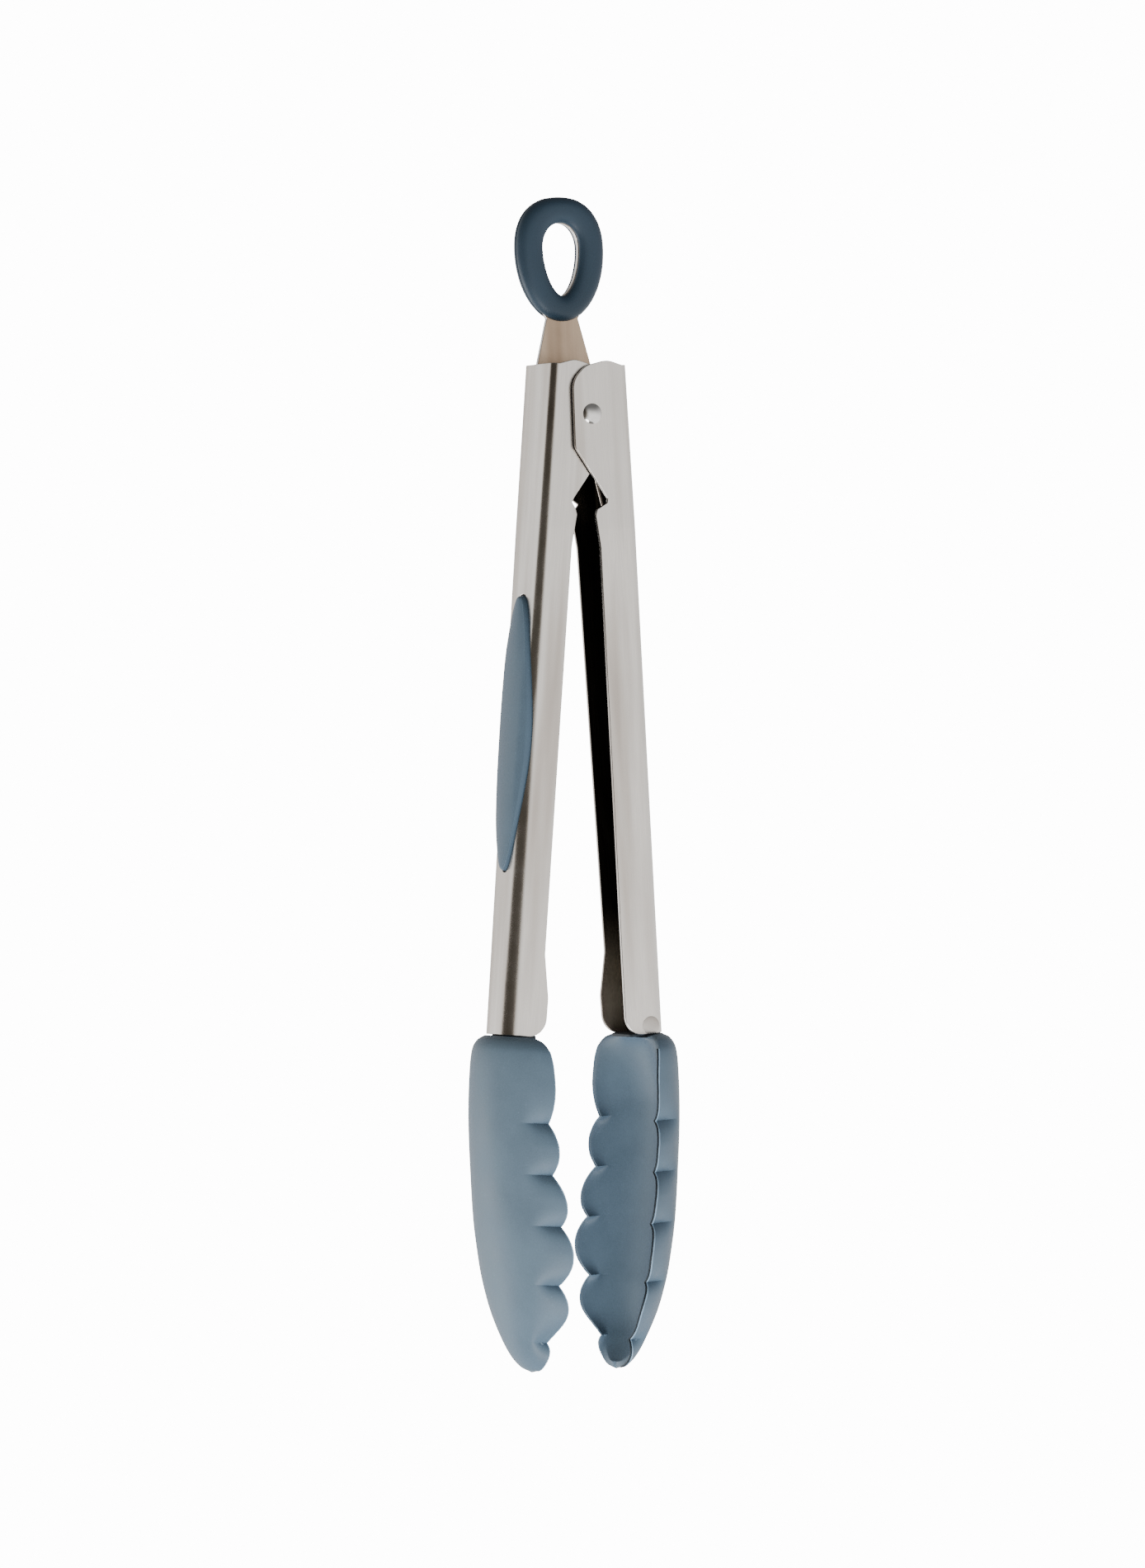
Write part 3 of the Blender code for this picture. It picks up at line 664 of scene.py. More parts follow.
def plain_floor(name, rgb):
    paint = Paint(name)
    grain = paint.noise(paint.mapped(), 6.0, 4.0)
    base = paint.mixed(paint.ranged(grain, 0.3, 0.7, 0.0, 1.0), tint(rgb, 0.985), rgb)
    rough = paint.ranged(grain, 0.3, 0.7, 0.70, 0.80)
    return paint.finish(base, rough, paint.bump(grain, 0.0005, 0.05))


def repaint(node, material):
    """Gives a carried-over node its finish."""
    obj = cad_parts[node]
    obj.data.materials.clear()
    obj.data.materials.append(material)


# ---------------------------------------------------------------- arms

def arm_width(arms, hinge_width, z):
    share = min(max((TAPER_START - z) / (TAPER_START - ARM_BOTTOM), 0.0), 1.0)
    return hinge_width + (arms.lower_width / MM - hinge_width) * share


def channel_section(arms, hinge_width, z, reach=17.0, bend_steps=14):
    """The U section at one height for a spine at +X: outside, then back along the inside."""
    half = arm_width(arms, hinge_width, z) / 2
    share = min(max((SPINE_TOP - z) / (SPINE_TOP - ARM_BOTTOM), 0.0), 1.0)
    bend = (arms.bend_top + (arms.bend_bottom - arms.bend_top) * share) / MM
    sheet = arms.sheet / MM
    path = []
    for inset in (0.0, sheet):
        radius = bend - inset
        side = [(SPINE_X - reach, -(half - inset))]
        for step in range(bend_steps + 1):
            angle = math.radians(90.0 * step / bend_steps)
            side.append((SPINE_X - bend + radius * math.sin(angle),
                         -(half - bend + radius * math.cos(angle))))
        side += [(x, -y) for x, y in reversed(side)]
        path += side if inset == 0.0 else side[::-1]
    return [(x, y, z) for x, y in path]


def flange_waste(edge_top, edge_low, flare, corner_radius, notch):
    """What is cut away beside one flange, from the spine's top round the ear, past the notch under
    the ear and down the open edge to the bottom corner."""
    return rounded([
        (20.0, SPINE_TOP, 0.0),
        (9.6, SPINE_TOP, 0.0),
        (5.4, 13.5, 6.0),
        (-1.0, 12.3, 6.0),
        (-4.9, 8.9, 6.0),
        (-5.5, -8.3, 2.5),
        (2.9, -21.7, 0.2),
        (notch, -22.8, 0.4),
        (edge_top - 0.3, -24.3, 0.5),
        (edge_top - 0.9, -25.8, 1.2),
        (edge_top - 0.5, -29.3, 3.0),
        (edge_top, -34.0, 8.0),
        (edge_low, -138.0, 8.0),
        (flare, -149.0, 6.0),
        (flare, ARM_BOTTOM, corner_radius),
        (20.0, ARM_BOTTOM, 0.0),
        (20.0, -170.0, 0.0),
        (-24.0, -170.0, 0.0),
        (-24.0, 24.0, 0.0),
        (20.0, 24.0, 0.0),
    ])


def leaf_outline(pads, grow, steps):
    """Half widths of the grip pad's blunt leaf down the spine, as (half width, z)."""
    rows = []
    for k in range(steps + 1):
        share = 0.5 - 0.5 * math.cos(math.pi * k / steps)
        bluntness = 0.48 if share < 0.5 else 0.56
        half = pads.half_width / MM * math.sin(math.pi * share) ** bluntness + grow
        z = PAD_TOP + grow + (PAD_BOTTOM - PAD_TOP - 2 * grow) * share
        rows.append((half if 0 < k < steps else 0.02, z))
    return rows


def leaf_cutter(pads, name):
    leaf = leaf_outline(pads, pads.groove / MM, 40)
    bm = bmesh.new()
    add_loft(bm, [[(x, h, z) for h, z in leaf] + [(x, -h, z) for h, z in reversed(leaf)]
                  for x in (6.5, 14.0)])
    return to_mesh(bm, name)


def make_arm(side, hinge_width, arms, pads, steel, inner_shade_steel):
    step = 5.0
    rows = int((ARM_TOP - ARM_BOTTOM + 3.0) / step)
    levels = sorted({ARM_TOP - step * k for k in range(rows + 1)} | {TAPER_START, SPINE_TOP + 2.0, -162.0})
    sections = [channel_section(arms, hinge_width, z) for z in reversed(levels)]
    bm = bmesh.new()
    add_loft(bm, sections)
    bm.faces.ensure_lookup_table()
    around = len(sections[0])
    # The inside faces take the second material, the painted shade steel with painted light near the head.
    for index, face in enumerate(bm.faces):
        face.material_index = 1 if around / 2 <= index % around < around - 1 else 0
    arm = add_object(side + "_arm_steel", to_mesh(bm, side + "_arm_steel"), steel)
    arm.data.materials.append(inner_shade_steel)
    circle = [(PIN_HOLE_R * math.cos(math.radians(7.5 * k)), PIN_HOLE_R * math.sin(math.radians(7.5 * k)))
              for k in range(48)]
    carve(arm, [
        prism_mesh(flange_waste(0.0, -0.6, -0.6, 11.0, 2.7), -14.0, 3.0, "deep_flange_waste"),
        prism_mesh(flange_waste(*SHALLOW_EDGE[side]), -3.0, 14.0, "shallow_flange_waste"),
        prism_mesh(circle, -14.0, 14.0, "pin_hole"),
    ] + ([leaf_cutter(pads, "pad_opening")] if side == PAD_SIDE else []))
    bm = bmesh.new()
    bm.from_mesh(arm.data)
    bmesh.ops.remove_doubles(bm, verts=bm.verts, dist=0.02)
    bm.to_mesh(arm.data)
    bm.free()
    ease_edges(arm, arms.edge / MM)
    arm = settle(arm, side_matrix(side, arms.tilt))
    belongs(arm, side + "_arm", "arm_steel", side + "_arm")


def make_weld(side, hinge_width, arms, steel):
    """A faint disc where the head's core is welded behind the deep flange."""
    x0, z0 = WELD_PLACE
    loops = []
    for shrink, proud in ((0.0, -0.02), (0.0, 0.05), (0.18, 0.09), (1.2, 0.05)):
        loop = []
        for k in range(64):
            angle = 2 * math.pi * k / 64
            z = max(z0 + (WELD_R - shrink) * math.sin(angle), ARM_BOTTOM + 0.15 + shrink / 2)
            x = x0 + (WELD_R - shrink) * math.cos(angle)
            loop.append((x, -(arm_width(arms, hinge_width, z) / 2 + proud), z))
        loops.append(loop)
    bm = bmesh.new()
    add_loft(bm, loops)
    weld = add_object(side + "_weld_mark", to_mesh(bm, side + "_weld_mark"), steel)
    weld = settle(weld, side_matrix(side, arms.tilt))
    belongs(weld, side + "_arm", "arm_steel")


class TONGS_OT_arms(bpy.types.Operator):
    """Bends the two sheet steel channel arms, with their ears, pad openings and weld marks"""
    bl_idname = "tongs.arms"
    bl_label = "Arms"

    def execute(self, context):
        arms, pads = context.scene.tongs_arms, context.scene.tongs_pads
        for side, width in (("left", arms.inner_width), ("right", arms.outer_width)):
            turn = arms.tilt if side == "right" else -arms.tilt
            steel = brushed_steel(side + "_arm_brushed_steel", arms.steel, turn)
            # The inside of the channel is painted near black as painted shade, with painted light near the head.
            inner = painted_shade_steel(side + "_arm_inner_steel", arms.inner_shade_steel, turn)
            make_arm(side, width / MM, arms, pads, steel, inner)
            mark = brushed_steel(side + "_weld_steel", tint(arms.steel, 0.82), turn + 1.2, 0.36)
            make_weld(side, width / MM, arms, mark)
        return {"FINISHED"}


# ---------------------------------------------------------------- grip pad

def spine_surface(arms, hinge_width, y, z):
    """Outside of the spine at a place across it, on the flat or on the bend."""
    share = min(max((SPINE_TOP - z) / (SPINE_TOP - ARM_BOTTOM), 0.0), 1.0)
    bend = (arms.bend_top + (arms.bend_bottom - arms.bend_top) * share) / MM
    over = max(abs(y) - (arm_width(arms, hinge_width, z) / 2 - bend), 0.0)
    return SPINE_X - bend + math.sqrt(max(bend ** 2 - over ** 2, 0.0))


def make_pad(side, arms, pads, material):
    """A crowned leaf with an eased edge that follows the bends, and a lip inside the channel."""
    width = arms.inner_width / MM
    behind = arms.sheet / MM + 0.3
    rim, crown, corner = pads.rim / MM, pads.crown / MM, 0.4
    loops = []
    for half, z in leaf_outline(pads, 0.0, 110):
        size = half / (pads.half_width / MM)
        from_end = min(PAD_TOP - z, z - PAD_BOTTOM)
        end_ease = math.sqrt(max(1 - (1 - min(from_end / 0.9, 1.0)) ** 2, 0.0))
        top = [(-0.25, half)]
        flat = max(half - corner, 0.0)
        for k in range(7):
            angle = math.radians(15.0 * k)
            top.append(((rim - corner) + corner * math.sin(angle), flat + (half - flat) * math.cos(angle)))
        for k in range(1, 17):
            t = 1 - k / 16
            top.append((rim + crown * min(size * 1.3, 1.0) * (1 - t ** 2.2), flat * t))
        top = [(-0.25 + (lift + 0.25) * (end_ease if lift > 0 else 1.0), y) for lift, y in top]
        top = top[:-1] + [(lift, -y) for lift, y in reversed(top)]
        section = [(spine_surface(arms, width, y, z) + lift, -y) for lift, y in top]
        low = spine_surface(arms, width, half, z) - behind
        lip = min(half + 0.7, width / 2 - 1.6) if half > 1.0 else half
        back = min(low, spine_surface(arms, width, lip, z) - behind)
        under = [(low, half - 0.01), (back, lip), (back - 0.8, lip), (back - 0.8, 0.4 * lip)]
        section += under + [(x, -y) for x, y in reversed(under)]
        loops.append([(x, y, z) for x, y in section])
    bm = bmesh.new()
    add_loft(bm, loops)
    pad = add_object(side + "_pad_silicone", to_mesh(bm, side + "_pad_silicone"), material)
    pad = settle(pad, side_matrix(side, arms.tilt), 50.0)
    belongs(pad, side + "_arm", "pad_silicone", side + "_grip_pad")


class TONGS_OT_grip_pad(bpy.types.Operator):
    """Moulds the leaf shaped grip pad set in the left spine"""
    bl_idname = "tongs.grip_pad"
    bl_label = "Grip pad"

    def execute(self, context):
        pads = context.scene.tongs_pads
        material = silicone("pad_matt_silicone", pads.silicone, 0.48)
        make_pad(PAD_SIDE, context.scene.tongs_arms, pads, material)
        return {"FINISHED"}


# ---------------------------------------------------------------- heads

def scallop(z):
    """Height of the edge above notch level, and the height it would have with no notches."""
    edges = (HEAD_TOP,) + NOTCHES + (HEAD_TIP,)
    middles = [(edges[k] + edges[k + 1]) / 2 for k in range(len(CRESTS))]
    full = curve_value([(HEAD_TOP, 0.6)] + list(zip(middles, CRESTS)) + [(HEAD_TIP, 0.0)], 1, z)
    index = max(k for k in range(len(CRESTS)) if z <= edges[k] + 1e-9)
    t = (edges[index] - z) / (edges[index] - edges[index + 1])
    return full * 4 * t * (1 - t), full


def crease(heads, z, across):
    """Depth of the creases: a long slope from above into each notch and a short steep one below."""
    deepest = 0.0
    for notch in NOTCHES:
        away = z - notch
        fall = math.exp(-away / 2.5) if away >= 0 else math.exp(away / 1.8)
        deepest = max(deepest, fall * smooth(11.0, 6.0, abs(away)))
    start = 1.0 - heads.crease_reach
    spread = 0.85 * smooth(start, start + 0.32, abs(across)) + 0.15 * smooth(start + 0.32, 1.0, abs(across))
    return heads.crease_depth / MM * deepest * spread


def head_point(heads, z, across, inset):
    """A point of the head: across runs from -1 at one edge to 1 at the other."""
    back, edge, half = (curve_value(HEAD_STATIONS, k, z) for k in (1, 2, 3))
    height, full = scallop(z)
    smooth_edge = (edge + CREST_DIRECTION[0] * full, half + CREST_DIRECTION[1] * full)
    depth = max(back - smooth_edge[0], 0.02)
    width = max(smooth_edge[1], 0.02)
    radius = (width ** 2 + depth ** 2) / (2 * depth)
    angle = abs(across) * 2 * math.atan(depth / width)
    cut_back = (height - full) * smooth(0.55, 1.0, abs(across))
    x = back - radius * (1 - math.cos(angle)) + CREST_DIRECTION[0] * cut_back
    y = radius * math.sin(angle) + CREST_DIRECTION[1] * cut_back
    inset = min(inset, 0.8 * width)
    x -= inset * math.cos(angle)
    y -= inset * math.sin(angle) * min(1.0, width / 6.0)
    return x, math.copysign(max(y, 0.0), across), z


def head_levels():
    step = 0.6
    levels = {HEAD_TOP - step * k for k in range(int((HEAD_TOP - HEAD_TIP - 3.0) / step) + 1)}
    levels |= {HEAD_TOP - 0.08, HEAD_TOP - 0.25, HEAD_TOP - 0.45, HEAD_TOP - 0.9}
    for notch in NOTCHES:
        levels = {z for z in levels if abs(z - notch) > 0.45}
        levels |= {notch + d for d in (0.45, 0.2, 0.08, 0.0, -0.1, -0.22, -0.45)}
    share = 12
    levels |= {HEAD_TIP + 3.0 * (1 - math.sin(math.pi / 2 * k / share)) for k in range(share + 1)}
    return sorted(levels, reverse=True)


def inside_level(z):
    """The hollow stops short of the tip."""
    share = (HEAD_TOP - z) / (HEAD_TOP - HEAD_TIP)
    return z - 0.6 * (1 - smooth(0.0, 0.1, share)) + 1.5 * smooth(0.85, 1.0, share)


def head_section(heads, z):
    """Outside from edge to edge, then back along the hollow."""
    columns = 72
    shares = [math.sin(math.pi / 2 * (-1 + 2 * k / columns)) * 0.35 + (-1 + 2 * k / columns) * 0.65
              for k in range(columns + 1)]
    wall = (heads.wall / MM + 3.0 * (1 - smooth(HEAD_TOP, -178.0, z))) * (1 - 0.65 * smooth(-222.0, -242.0, z))
    lip = heads.lip / MM
    outside = [head_point(heads, z, a, crease(heads, z, a)) for a in shares]
    inside = []
    for a in reversed(shares[1:-1]):
        near_edge = smooth(0.80, 1.0, abs(a))
        thickness = lip + (wall - lip) * (1 - abs(a) ** 3.2) ** 0.8
        x, y, _ = head_point(heads, z, a, thickness + crease(heads, z, a) * near_edge)
        inside.append((x, y, z + (inside_level(z) - z) * (1 - near_edge)))
    return outside + inside


def plug_loops():
    """The silicone that fills the end of the channel. It is painted near black as painted shade."""
    outline = rounded([(1.6, -5.6, 1.5), (9.6, -5.6, 2.0), (9.6, 5.6, 2.0), (1.6, 5.6, 1.5)], 6)
    loops = []
    for z, shrink in ((-159.5, 0.0), (-158.9, 0.0), (-158.7, 0.2), (-158.6, 0.7)):
        loops.append([(5.6 + (x - 5.6) * (1 - shrink / 4), y * (1 - shrink / 6), z)
                      for x, y in outline])
    return loops


def make_head(side, arms, heads, material, flash_highlight_material, painted_shade_material):
    bm = bmesh.new()
    add_loft(bm, [head_section(heads, z) for z in head_levels()])
    skin = len(bm.faces)
    add_loft(bm, plug_loops())
    # The plug's faces take the near black painted shade silicone.
    for index, face in enumerate(bm.faces):
        face.material_index = 1 if index >= skin else 0
    head = add_object(side + "_head_silicone", to_mesh(bm, side + "_head_silicone", 2e-3), material)
    head.data.materials.append(painted_shade_material)
    head = settle(head, side_matrix(side, arms.tilt), 42.0)
    belongs(head, side + "_arm", "head_silicone", side + "_head")
    levels = [z for z in head_levels() if HEAD_TIP + 0.6 < z < HEAD_TOP - 2.5]
    down = [head_point(heads, z, -1.0, crease(heads, z, 1.0) + 0.04) for z in levels]
    up = [head_point(heads, z, 1.0, crease(heads, z, 1.0) + 0.04) for z in reversed(levels)]
    # The flash takes the lighter silicone, a painted highlight along the parting line.
    flash = wire_object(side + "_head_flash", down + up, heads.flash / MM, 8, flash_highlight_material,
                        side_matrix(side, arms.tilt), 1.5, 0.6)
    belongs(flash, side + "_arm", "head_silicone")
    # A thin near black wire inside the rim is a painted shade line beside the flash.
    shade_line_inset = heads.lip / MM + 0.12
    seam = [head_point(heads, z, -1.0, crease(heads, z, 1.0) + shade_line_inset) for z in levels]
    groove = wire_object(side + "_parting_shade_line", seam, 0.2, 8, painted_shade_material,
                         side_matrix(side, arms.tilt))
    belongs(groove, side + "_arm", "head_silicone")


class TONGS_OT_heads(bpy.types.Operator):
    """Moulds the scooped silicone heads, with creased scallops and moulding flash"""
    bl_idname = "tongs.heads"
    bl_label = "Heads"

    def execute(self, context):
        heads = context.scene.tongs_heads
        material = silicone("head_matt_silicone", heads.silicone, 0.50)
        # The flash is painted 2.6 times lighter than the heads as a painted highlight, the glints along the parting
        # line.
        flash_highlight_material = silicone("head_flash_painted_highlight", tint(heads.silicone, 2.6), 0.32)
        # Near black painted shade silicone for the shade line by the flash and for the plug.
        painted_shade_material = silicone("head_painted_shade_silicone", tint(heads.silicone, 0.15), 0.6)
        for side in SIDES:
            make_head(side, context.scene.tongs_arms, heads, material, flash_highlight_material, painted_shade_material)
        return {"FINISHED"}


class TONGS_OT_head_cores(bpy.types.Operator):
    """Finishes the steel cores that are welded in the arms and buried in the heads"""
    bl_idname = "tongs.head_cores"
    bl_label = "Head cores"

    def execute(self, context):
        for side in SIDES:
            steel = brushed_steel(side + "_core_steel", (0.30, 0.28, 0.26),
                                  context.scene.tongs_arms.tilt * (1 if side == "right" else -1), 0.40)
            repaint(side + "_head_core", steel)
        return {"FINISHED"}


# ---------------------------------------------------------------- hinge

class TONGS_OT_rivet(bpy.types.Operator):
    """Turns the domed rivet and finishes the sleeve on it"""
    bl_idname = "tongs.rivet"
    bl_label = "Rivet and sleeve"

    def execute(self, context):
        hinge, arms = context.scene.tongs_hinge, context.scene.tongs_arms
        seat = arms.outer_width / MM / 2 + 0.04
        radius, height = hinge.head_radius / MM, hinge.head_height / MM + 0.16
        rim = 0.16
        slope = 2 * math.atan((height - rim) / radius)
        ball = radius / math.sin(slope)
        dome = [(ball * math.sin(a), seat + height - ball * (1 - math.cos(a)))
                for a in [slope * (1 - k / 20) for k in range(20)]]
        edge = [(radius - 0.22, seat), (radius - 0.07, seat + 0.04), (radius, seat + 0.14)]
        half = [(SHANK_R, seat)] + edge + dome + [(0.0, seat + height)]
        profile = [(r, -y) for r, y in reversed(half)] + half
        rivet = add_object("rivet_steel", turned_mesh("rivet_steel", profile),
                           polished_steel("rivet_polished_steel", hinge.polished))
        rivet = settle(rivet, rivet_matrix())
        belongs(rivet, "pivot", "rivet_steel", "pivot_rivet")
        repaint("spring_sleeve", black_nylon("sleeve_black_nylon", (0.03, 0.03, 0.032)))
        return {"FINISHED"}


class TONGS_OT_spring(bpy.types.Operator):
    """Winds the torsion spring: the coil stays on the rivet and each leg goes with its arm"""
    bl_idname = "tongs.spring"
    bl_label = "Torsion spring"

    def execute(self, context):
        hinge = context.scene.tongs_hinge
        steel = spring_wire("spring_drawn_wire", (0.50, 0.44, 0.38))
        radius, wire = hinge.coil_radius / MM, hinge.wire_radius / MM
        turn = hinge.turns * 2 * math.pi + math.pi - 2 * LEG_SLOPE
        pitch = (COIL_NEAR_Y - COIL_FAR_Y) / turn

        def on_coil(angle):
            """A place on the coil's middle line, from the far end."""
            return (radius * math.cos(LEG_SLOPE + angle), COIL_FAR_Y + pitch * angle,
                    radius * math.sin(LEG_SLOPE + angle))

        half_turn = math.pi
        coil = add_object("spring_coil", bpy.data.meshes.new("spring_coil"))
        tree = coil_tree()
        inner = turn - 2 * half_turn
        run_tree(coil, tree, {"Coil radius": radius, "Wire radius": wire, "Turns": inner / (2 * math.pi),
                              "Height": -pitch * inner, "Material": steel})
        start = on_coil(half_turn)
        stand = (Matrix.Translation((0.0, start[1], 0.0)) @ Matrix.Rotation(LEG_SLOPE + half_turn, 4, "Y").inverted()
                 @ Matrix.Rotation(math.radians(90.0), 4, "X"))
        coil = settle(coil, rivet_matrix() @ stand)
        belongs(coil, "pivot", "spring_steel", "torsion_spring")
        for side, ends, direction in (("right", (0.0, half_turn), 1), ("left", (turn - half_turn, turn), -1)):
            steps = 30
            arc = [on_coil(ends[0] + (ends[1] - ends[0]) * k / steps) for k in range(steps + 1)]
            tip = Vector(arc[0] if side == "right" else arc[-1])
            down = Vector((direction * math.sin(LEG_SLOPE), 0.0, -math.cos(LEG_SLOPE)))
            leg = [tuple(tip + down * LEG_LENGTH * k / 8) for k in range(8, 0, -1)]
            points = leg + arc if side == "right" else arc + leg[::-1]
            wire_leg = wire_object("spring_leg_" + side, points, wire, 14, steel, rivet_matrix())
            belongs(wire_leg, side + "_arm", "spring_steel")
        return {"FINISHED"}


# ---------------------------------------------------------------- pull tab

def loop_outline(inset, steps=160):
    return egg(12.5 - inset, LOOP_CENTRE_Z, 13.6 - inset, 18.2 - inset, 2.3, 2.0, steps)


def hole_outline(inset, steps=160):
    return egg(5.4 - inset, HOLE_CENTRE_Z, 6.6 - inset, 12.0 - inset, 2.1, 1.8, steps)


def make_plate(tab, steel, edge_steel):
    """Ring above, tapered neck, wide shoulders and a slot that rides on the rivet."""
    ring = [(x, z) for x, z in loop_outline(0.8) if z > 27.5]
    ring.sort(key=lambda p: math.atan2(p[1] - LOOP_CENTRE_Z, p[0]) % (2 * math.pi))
    start = min(range(len(ring)), key=lambda k: (ring[k][0] < 0, ring[k][1]))
    ring = ring[start:] + ring[:start]
    body = rounded([(-4.5, 25.0, 0.0), (-7.6, 13.6, 1.2), (-7.6, -2.0, 2.0), (-4.6, -10.0, 2.0),
                    (4.6, -10.0, 2.0), (7.9, -2.0, 2.0), (7.9, 13.0, 1.2), (4.6, 25.0, 0.0)])
    half = SLOT_WIDTH / 2
    reach = TAB_TRAVEL + 0.3 + half
    slot = rounded([(half, -half, half), (half, reach, half), (-half, reach, half), (-half, -half, half)])
    edge = 0.14
    data = bpy.data.curves.new("pull_plate_steel", "CURVE")
    data.dimensions = "2D"
    data.fill_mode = "BOTH"
    data.extrude = tab.plate / MM / 2 - edge
    data.bevel_depth = edge
    data.bevel_resolution = 2
    data.offset = -edge
    for outline in (ring + body, hole_outline(0.03), slot):
        spline = data.splines.new("POLY")
        spline.points.add(len(outline) - 1)
        for point, (x, z) in zip(spline.points, outline):
            point.co = (x, z, 0.0, 1.0)
        spline.use_cyclic_u = True
    plate = add_object("pull_plate_steel", data, steel)
    upright = Matrix.Translation((0.0, TAB_Y, 0.0)) @ Matrix.Rotation(math.radians(90.0), 4, "X")
    plate = settle(plate, rivet_matrix(tab.lean) @ upright, 30.0)
    plate.data.materials.append(edge_steel)
    # The flat faces take the warm tan painted reflection; the edge faces take a brighter grey steel.
    for face in plate.data.polygons:
        face.material_index = 1 if abs(face.normal.y) < 0.6 else 0
    belongs(plate, "pull_tab", "plate_steel", "pull_plate")


def cover_section(inner, outer, rim_depth, tab):
    """One slice of a cover from the hole to the outside, as (place along the slice, depth)."""
    face = tab.plate / MM / 2 + 0.08
    top = tab.plate / MM / 2 + tab.gap / MM + tab.cover / MM
    width = (outer - inner).length
    step_in = min(0.72, 0.3 * width)
    steps = 26
    section = [(0.10, face)]
    for k in range(steps + 1):
        t = -1 + 2 * k / steps
        t = math.copysign(1 - (1 - abs(t)) ** 1.35, t)
        height = (1 - abs(t) ** 2.5) ** 0.55
        low = face + 0.45 if t < 0 else min(face, rim_depth + 0.5) + 0.45 * smooth(0.0, 1.0, 1 - t)
        section.append((width * (t + 1) / 2, low + (top - low) * height))
    section += [(width, rim_depth + 0.12), (width - 0.12, rim_depth),
                (width - step_in, rim_depth), (width - step_in, face)]
    return section


def make_cover(name, direction, tab, material):
    """Half of the loop's cover. Its outer wall reaches round the ring to the seam, save at the neck."""
    loops = []
    for inner, outer in zip(hole_outline(0.0), loop_outline(0.0)):
        inner, outer = Vector(inner), Vector(outer)
        along = (outer - inner).normalized()
        at_neck = (1 - smooth(5.0, 6.6, abs(outer.x))) * (1 - smooth(30.0, 34.0, outer.y))
        rim_depth = 0.10 + (tab.plate / MM / 2 - 0.02) * at_neck
        loop = []
        for place, depth in cover_section(inner, outer, rim_depth, tab):
            point = inner + along * place
            loop.append((point.x, TAB_Y + direction * depth, point.y))
        loops.append(loop)
    bm = bmesh.new()
    add_loft(bm, loops, caps=False)
    cover = add_object(name + "_silicone", to_mesh(bm, name + "_silicone"), material)
    cover = settle(cover, rivet_matrix(tab.lean), 50.0)
    belongs(cover, "pull_tab", "loop_silicone", name)


class TONGS_OT_pull_tab(bpy.types.Operator):
    """Makes the pull tab: a steel plate with a ring between two silicone covers"""
    bl_idname = "tongs.pull_tab"
    bl_label = "Pull tab"

    def execute(self, context):
        tab = context.scene.tongs_tab
        # The plate's tan base colour is a painted reflection.
        make_plate(tab, brushed_steel("plate_painted_reflection_steel", tab.steel, tab.lean, 0.34),
                   brushed_steel("plate_edge_steel", (0.74, 0.72, 0.70), tab.lean, 0.22))
        material = silicone("loop_dark_silicone", tab.silicone, 0.46)
        make_cover("loop_cover_front", -1, tab, material)
        make_cover("loop_cover_back", 1, tab, material)
        return {"FINISHED"}


# ---------------------------------------------------------------- stage

def studio_world():
    """Soft white surroundings that are dim to the left and above, as in a small light tent."""
    world = bpy.data.worlds.new("soft_studio")
    bpy.context.scene.world = world
    world.use_nodes = True
    nodes, links = world.node_tree.nodes, world.node_tree.links
    nodes.clear()
    out = nodes.new("ShaderNodeOutputWorld")
    seen = nodes.new("ShaderNodeBackground")
    seen.inputs["Color"].default_value = (1.0, 1.0, 1.0, 1.0)
    seen.inputs["Strength"].default_value = 14.0
    lighting = nodes.new("ShaderNodeBackground")
    choose = nodes.new("ShaderNodeMixShader")
    path = nodes.new("ShaderNodeLightPath")
    place = nodes.new("ShaderNodeTexCoord")

    def towards(direction, low, high, dim, bright):
        """Brightness by how far a ray points in a direction."""
        dot = nodes.new("ShaderNodeVectorMath")
        dot.operation = "DOT_PRODUCT"
        dot.inputs[1].default_value = Vector(direction).normalized()
        links.new(place.outputs["Generated"], dot.inputs[0])
        ranged = nodes.new("ShaderNodeMapRange")
        ranged.interpolation_type = "SMOOTHSTEP"
        for socket, number in zip(("From Min", "From Max", "To Min", "To Max"), (low, high, dim, bright)):
            ranged.inputs[socket].default_value = number
        links.new(dot.outputs["Value"], ranged.inputs["Value"])
        return ranged.outputs[0]

    def times(a, b):
        node = nodes.new("ShaderNodeMath")
        node.operation = "MULTIPLY"
        links.new(a, node.inputs[0])
        links.new(b, node.inputs[1])
        return node.outputs[0]

    left = towards((-0.96, -0.28, 0.0), 0.38, 0.80, 1.75, 0.09)
    above = towards((0.1, 0.0, 1.0), -0.2, 0.75, 1.0, 0.12)
    even = nodes.new("ShaderNodeMix")
    links.new(path.outputs["Is Diffuse Ray"], even.inputs["Factor"])
    links.new(left, even.inputs["A"])
    even.inputs["B"].default_value = 1.3
    links.new(times(even.outputs["Result"], above), lighting.inputs["Strength"])
    warmth = nodes.new("ShaderNodeValToRGB")
    warmth.color_ramp.elements[0].color = (1.0, 0.86, 0.68, 1.0)
    warmth.color_ramp.elements[1].color = (1.0, 0.985, 0.965, 1.0)
    links.new(left, warmth.inputs[0])
    links.new(warmth.outputs[0], lighting.inputs["Color"])
    links.new(path.outputs["Is Camera Ray"], choose.inputs[0])
    links.new(lighting.outputs[0], choose.inputs[1])
    links.new(seen.outputs[0], choose.inputs[2])
    links.new(choose.outputs[0], out.inputs[0])


def soft_light(name, towards, distance, size, power, target):
    data = bpy.data.lights.new(name, "AREA")
    data.shape = "DISK"
    data.size = size
    data.energy = power
    light = add_object(name, data)
    direction = Vector(towards).normalized()
    light.location = target + direction * distance
    light.rotation_euler = direction.to_track_quat("Z", "Y").to_euler()
    light.visible_camera = False


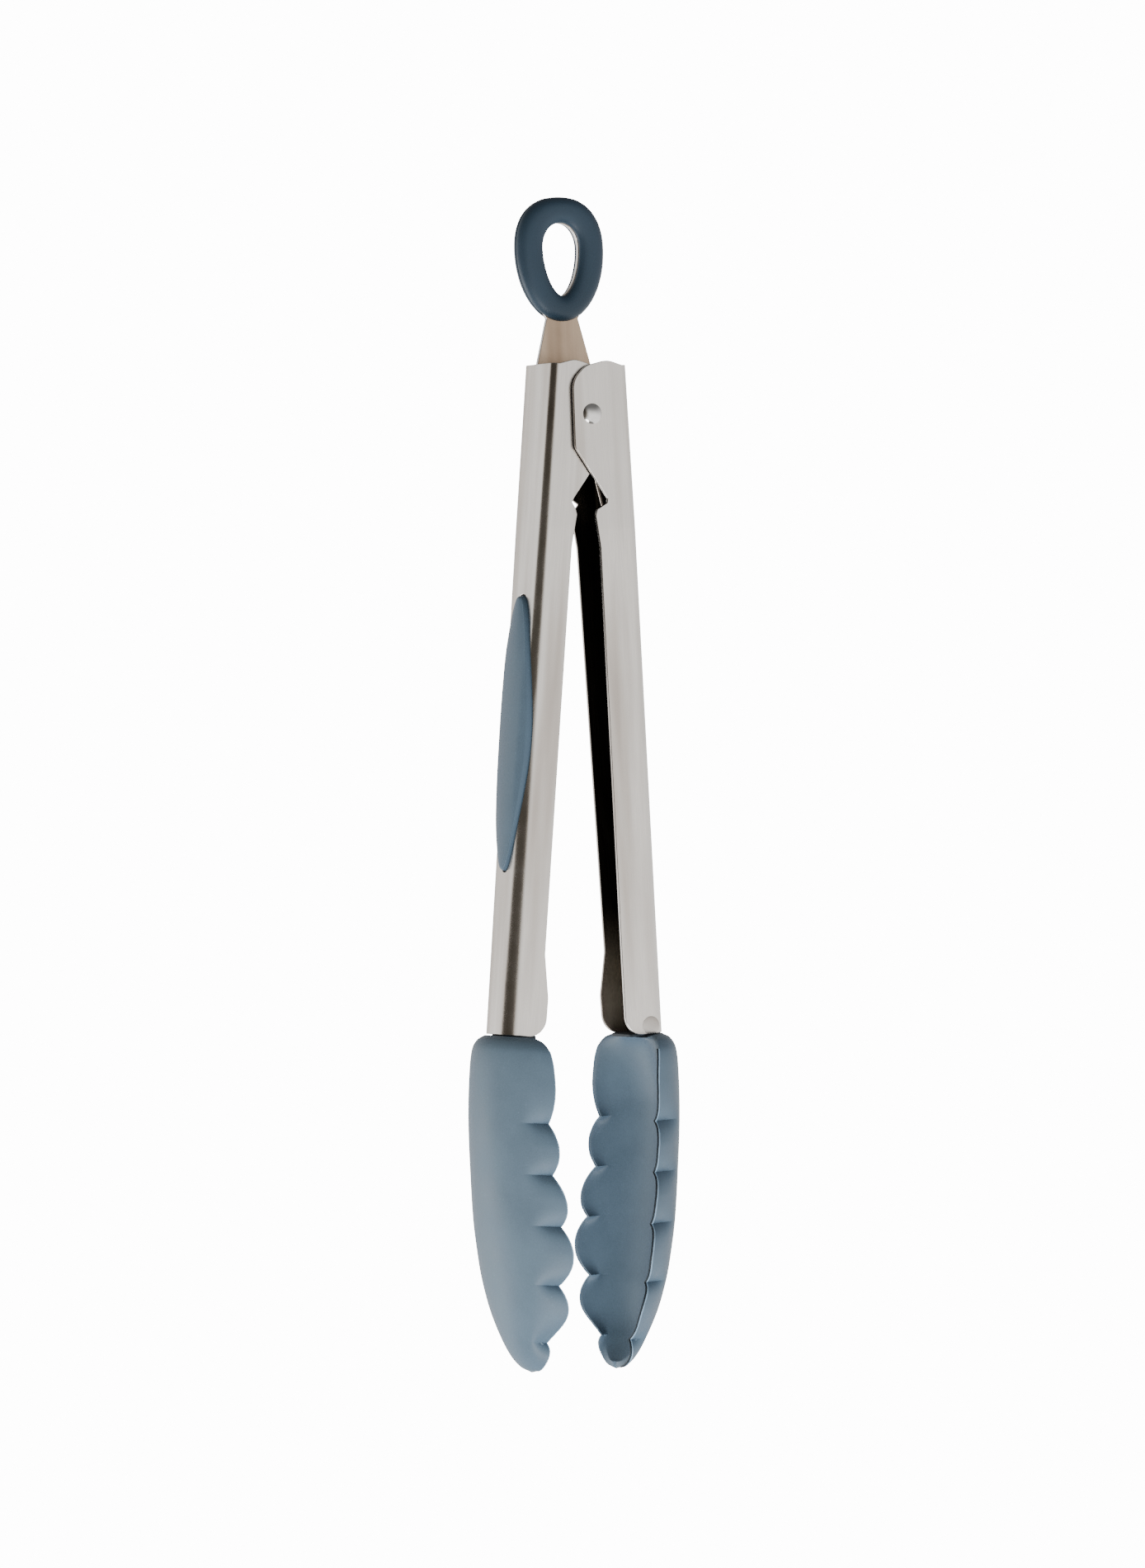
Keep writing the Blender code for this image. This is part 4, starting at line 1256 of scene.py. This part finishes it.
class TONGS_OT_stage(bpy.types.Operator):
    """Sets the camera, the soft light and a plain pale floor"""
    bl_idname = "tongs.stage"
    bl_label = "Stage"

    def execute(self, context):
        stage = context.scene.tongs_stage
        target = Vector((1.55, -5.0, -143.5)) * MM
        back = Vector((math.sin(stage.azimuth), -math.cos(stage.azimuth), 0.0))
        data = bpy.data.cameras.new("camera")
        data.lens = stage.lens
        data.clip_start, data.clip_end = 0.01, 100.0
        camera = add_object("camera", data)
        camera.location = target + back * stage.distance
        camera.rotation_euler = (-back).to_track_quat("-Z", "Y").to_euler()
        context.scene.camera = camera
        studio_world()
        soft_light("key_light", (-0.32, -0.52, -0.79), 0.8, 0.5, 5.5, target)
        soft_light("rear_light", (-0.70, 0.58, -0.38), 0.9, 0.5, 3.6, target)
        bm = bmesh.new()
        bmesh.ops.create_circle(bm, cap_ends=True, segments=96, radius=0.8)
        mesh = bpy.data.meshes.new("floor")
        bmesh.ops.translate(bm, verts=bm.verts, vec=(0.0, 0.0, CAD_BOX[0].z - stage.floor_drop))
        bm.to_mesh(mesh)
        bm.free()
        floor = add_object("floor", mesh, plain_floor("pale_floor", (0.90, 0.90, 0.89)))
        return {"FINISHED"}


# ---------------------------------------------------------------- panel and registration

OPERATORS = (TONGS_OT_arms, TONGS_OT_grip_pad, TONGS_OT_heads, TONGS_OT_head_cores, TONGS_OT_rivet,
             TONGS_OT_spring, TONGS_OT_pull_tab, TONGS_OT_stage)
SETTINGS = {
    "tongs_arms": TongsArmSettings,
    "tongs_pads": TongsPadSettings,
    "tongs_heads": TongsHeadSettings,
    "tongs_hinge": TongsHingeSettings,
    "tongs_tab": TongsTabSettings,
    "tongs_stage": TongsStageSettings,
}


class TONGS_PT_pieces(bpy.types.Panel):
    """Lists the pieces of the tongs"""
    bl_idname = "TONGS_PT_pieces"
    bl_label = "Kitchen tongs"
    bl_space_type = "VIEW_3D"
    bl_region_type = "UI"
    bl_category = "Tongs"

    def draw(self, context):
        for operator in OPERATORS:
            self.layout.operator(operator.bl_idname)
        for name, settings in SETTINGS.items():
            box = self.layout.box()
            box.label(text=settings.__doc__)
            for field in settings.__annotations__:
                box.prop(getattr(context.scene, name), field)


def register():
    for cls in (*SETTINGS.values(), *OPERATORS, TONGS_PT_pieces):
        bpy.utils.register_class(cls)
    for name, settings in SETTINGS.items():
        setattr(bpy.types.Scene, name, PointerProperty(type=settings))


def unregister():
    for name in SETTINGS:
        delattr(bpy.types.Scene, name)
    for cls in (TONGS_PT_pieces, *reversed(OPERATORS), *reversed(list(SETTINGS.values()))):
        bpy.utils.unregister_class(cls)


def main():
    register()
    for operator in OPERATORS:
        category, name = operator.bl_idname.split(".")
        getattr(getattr(bpy.ops, category), name)()


if __name__ == "__main__":
    main()
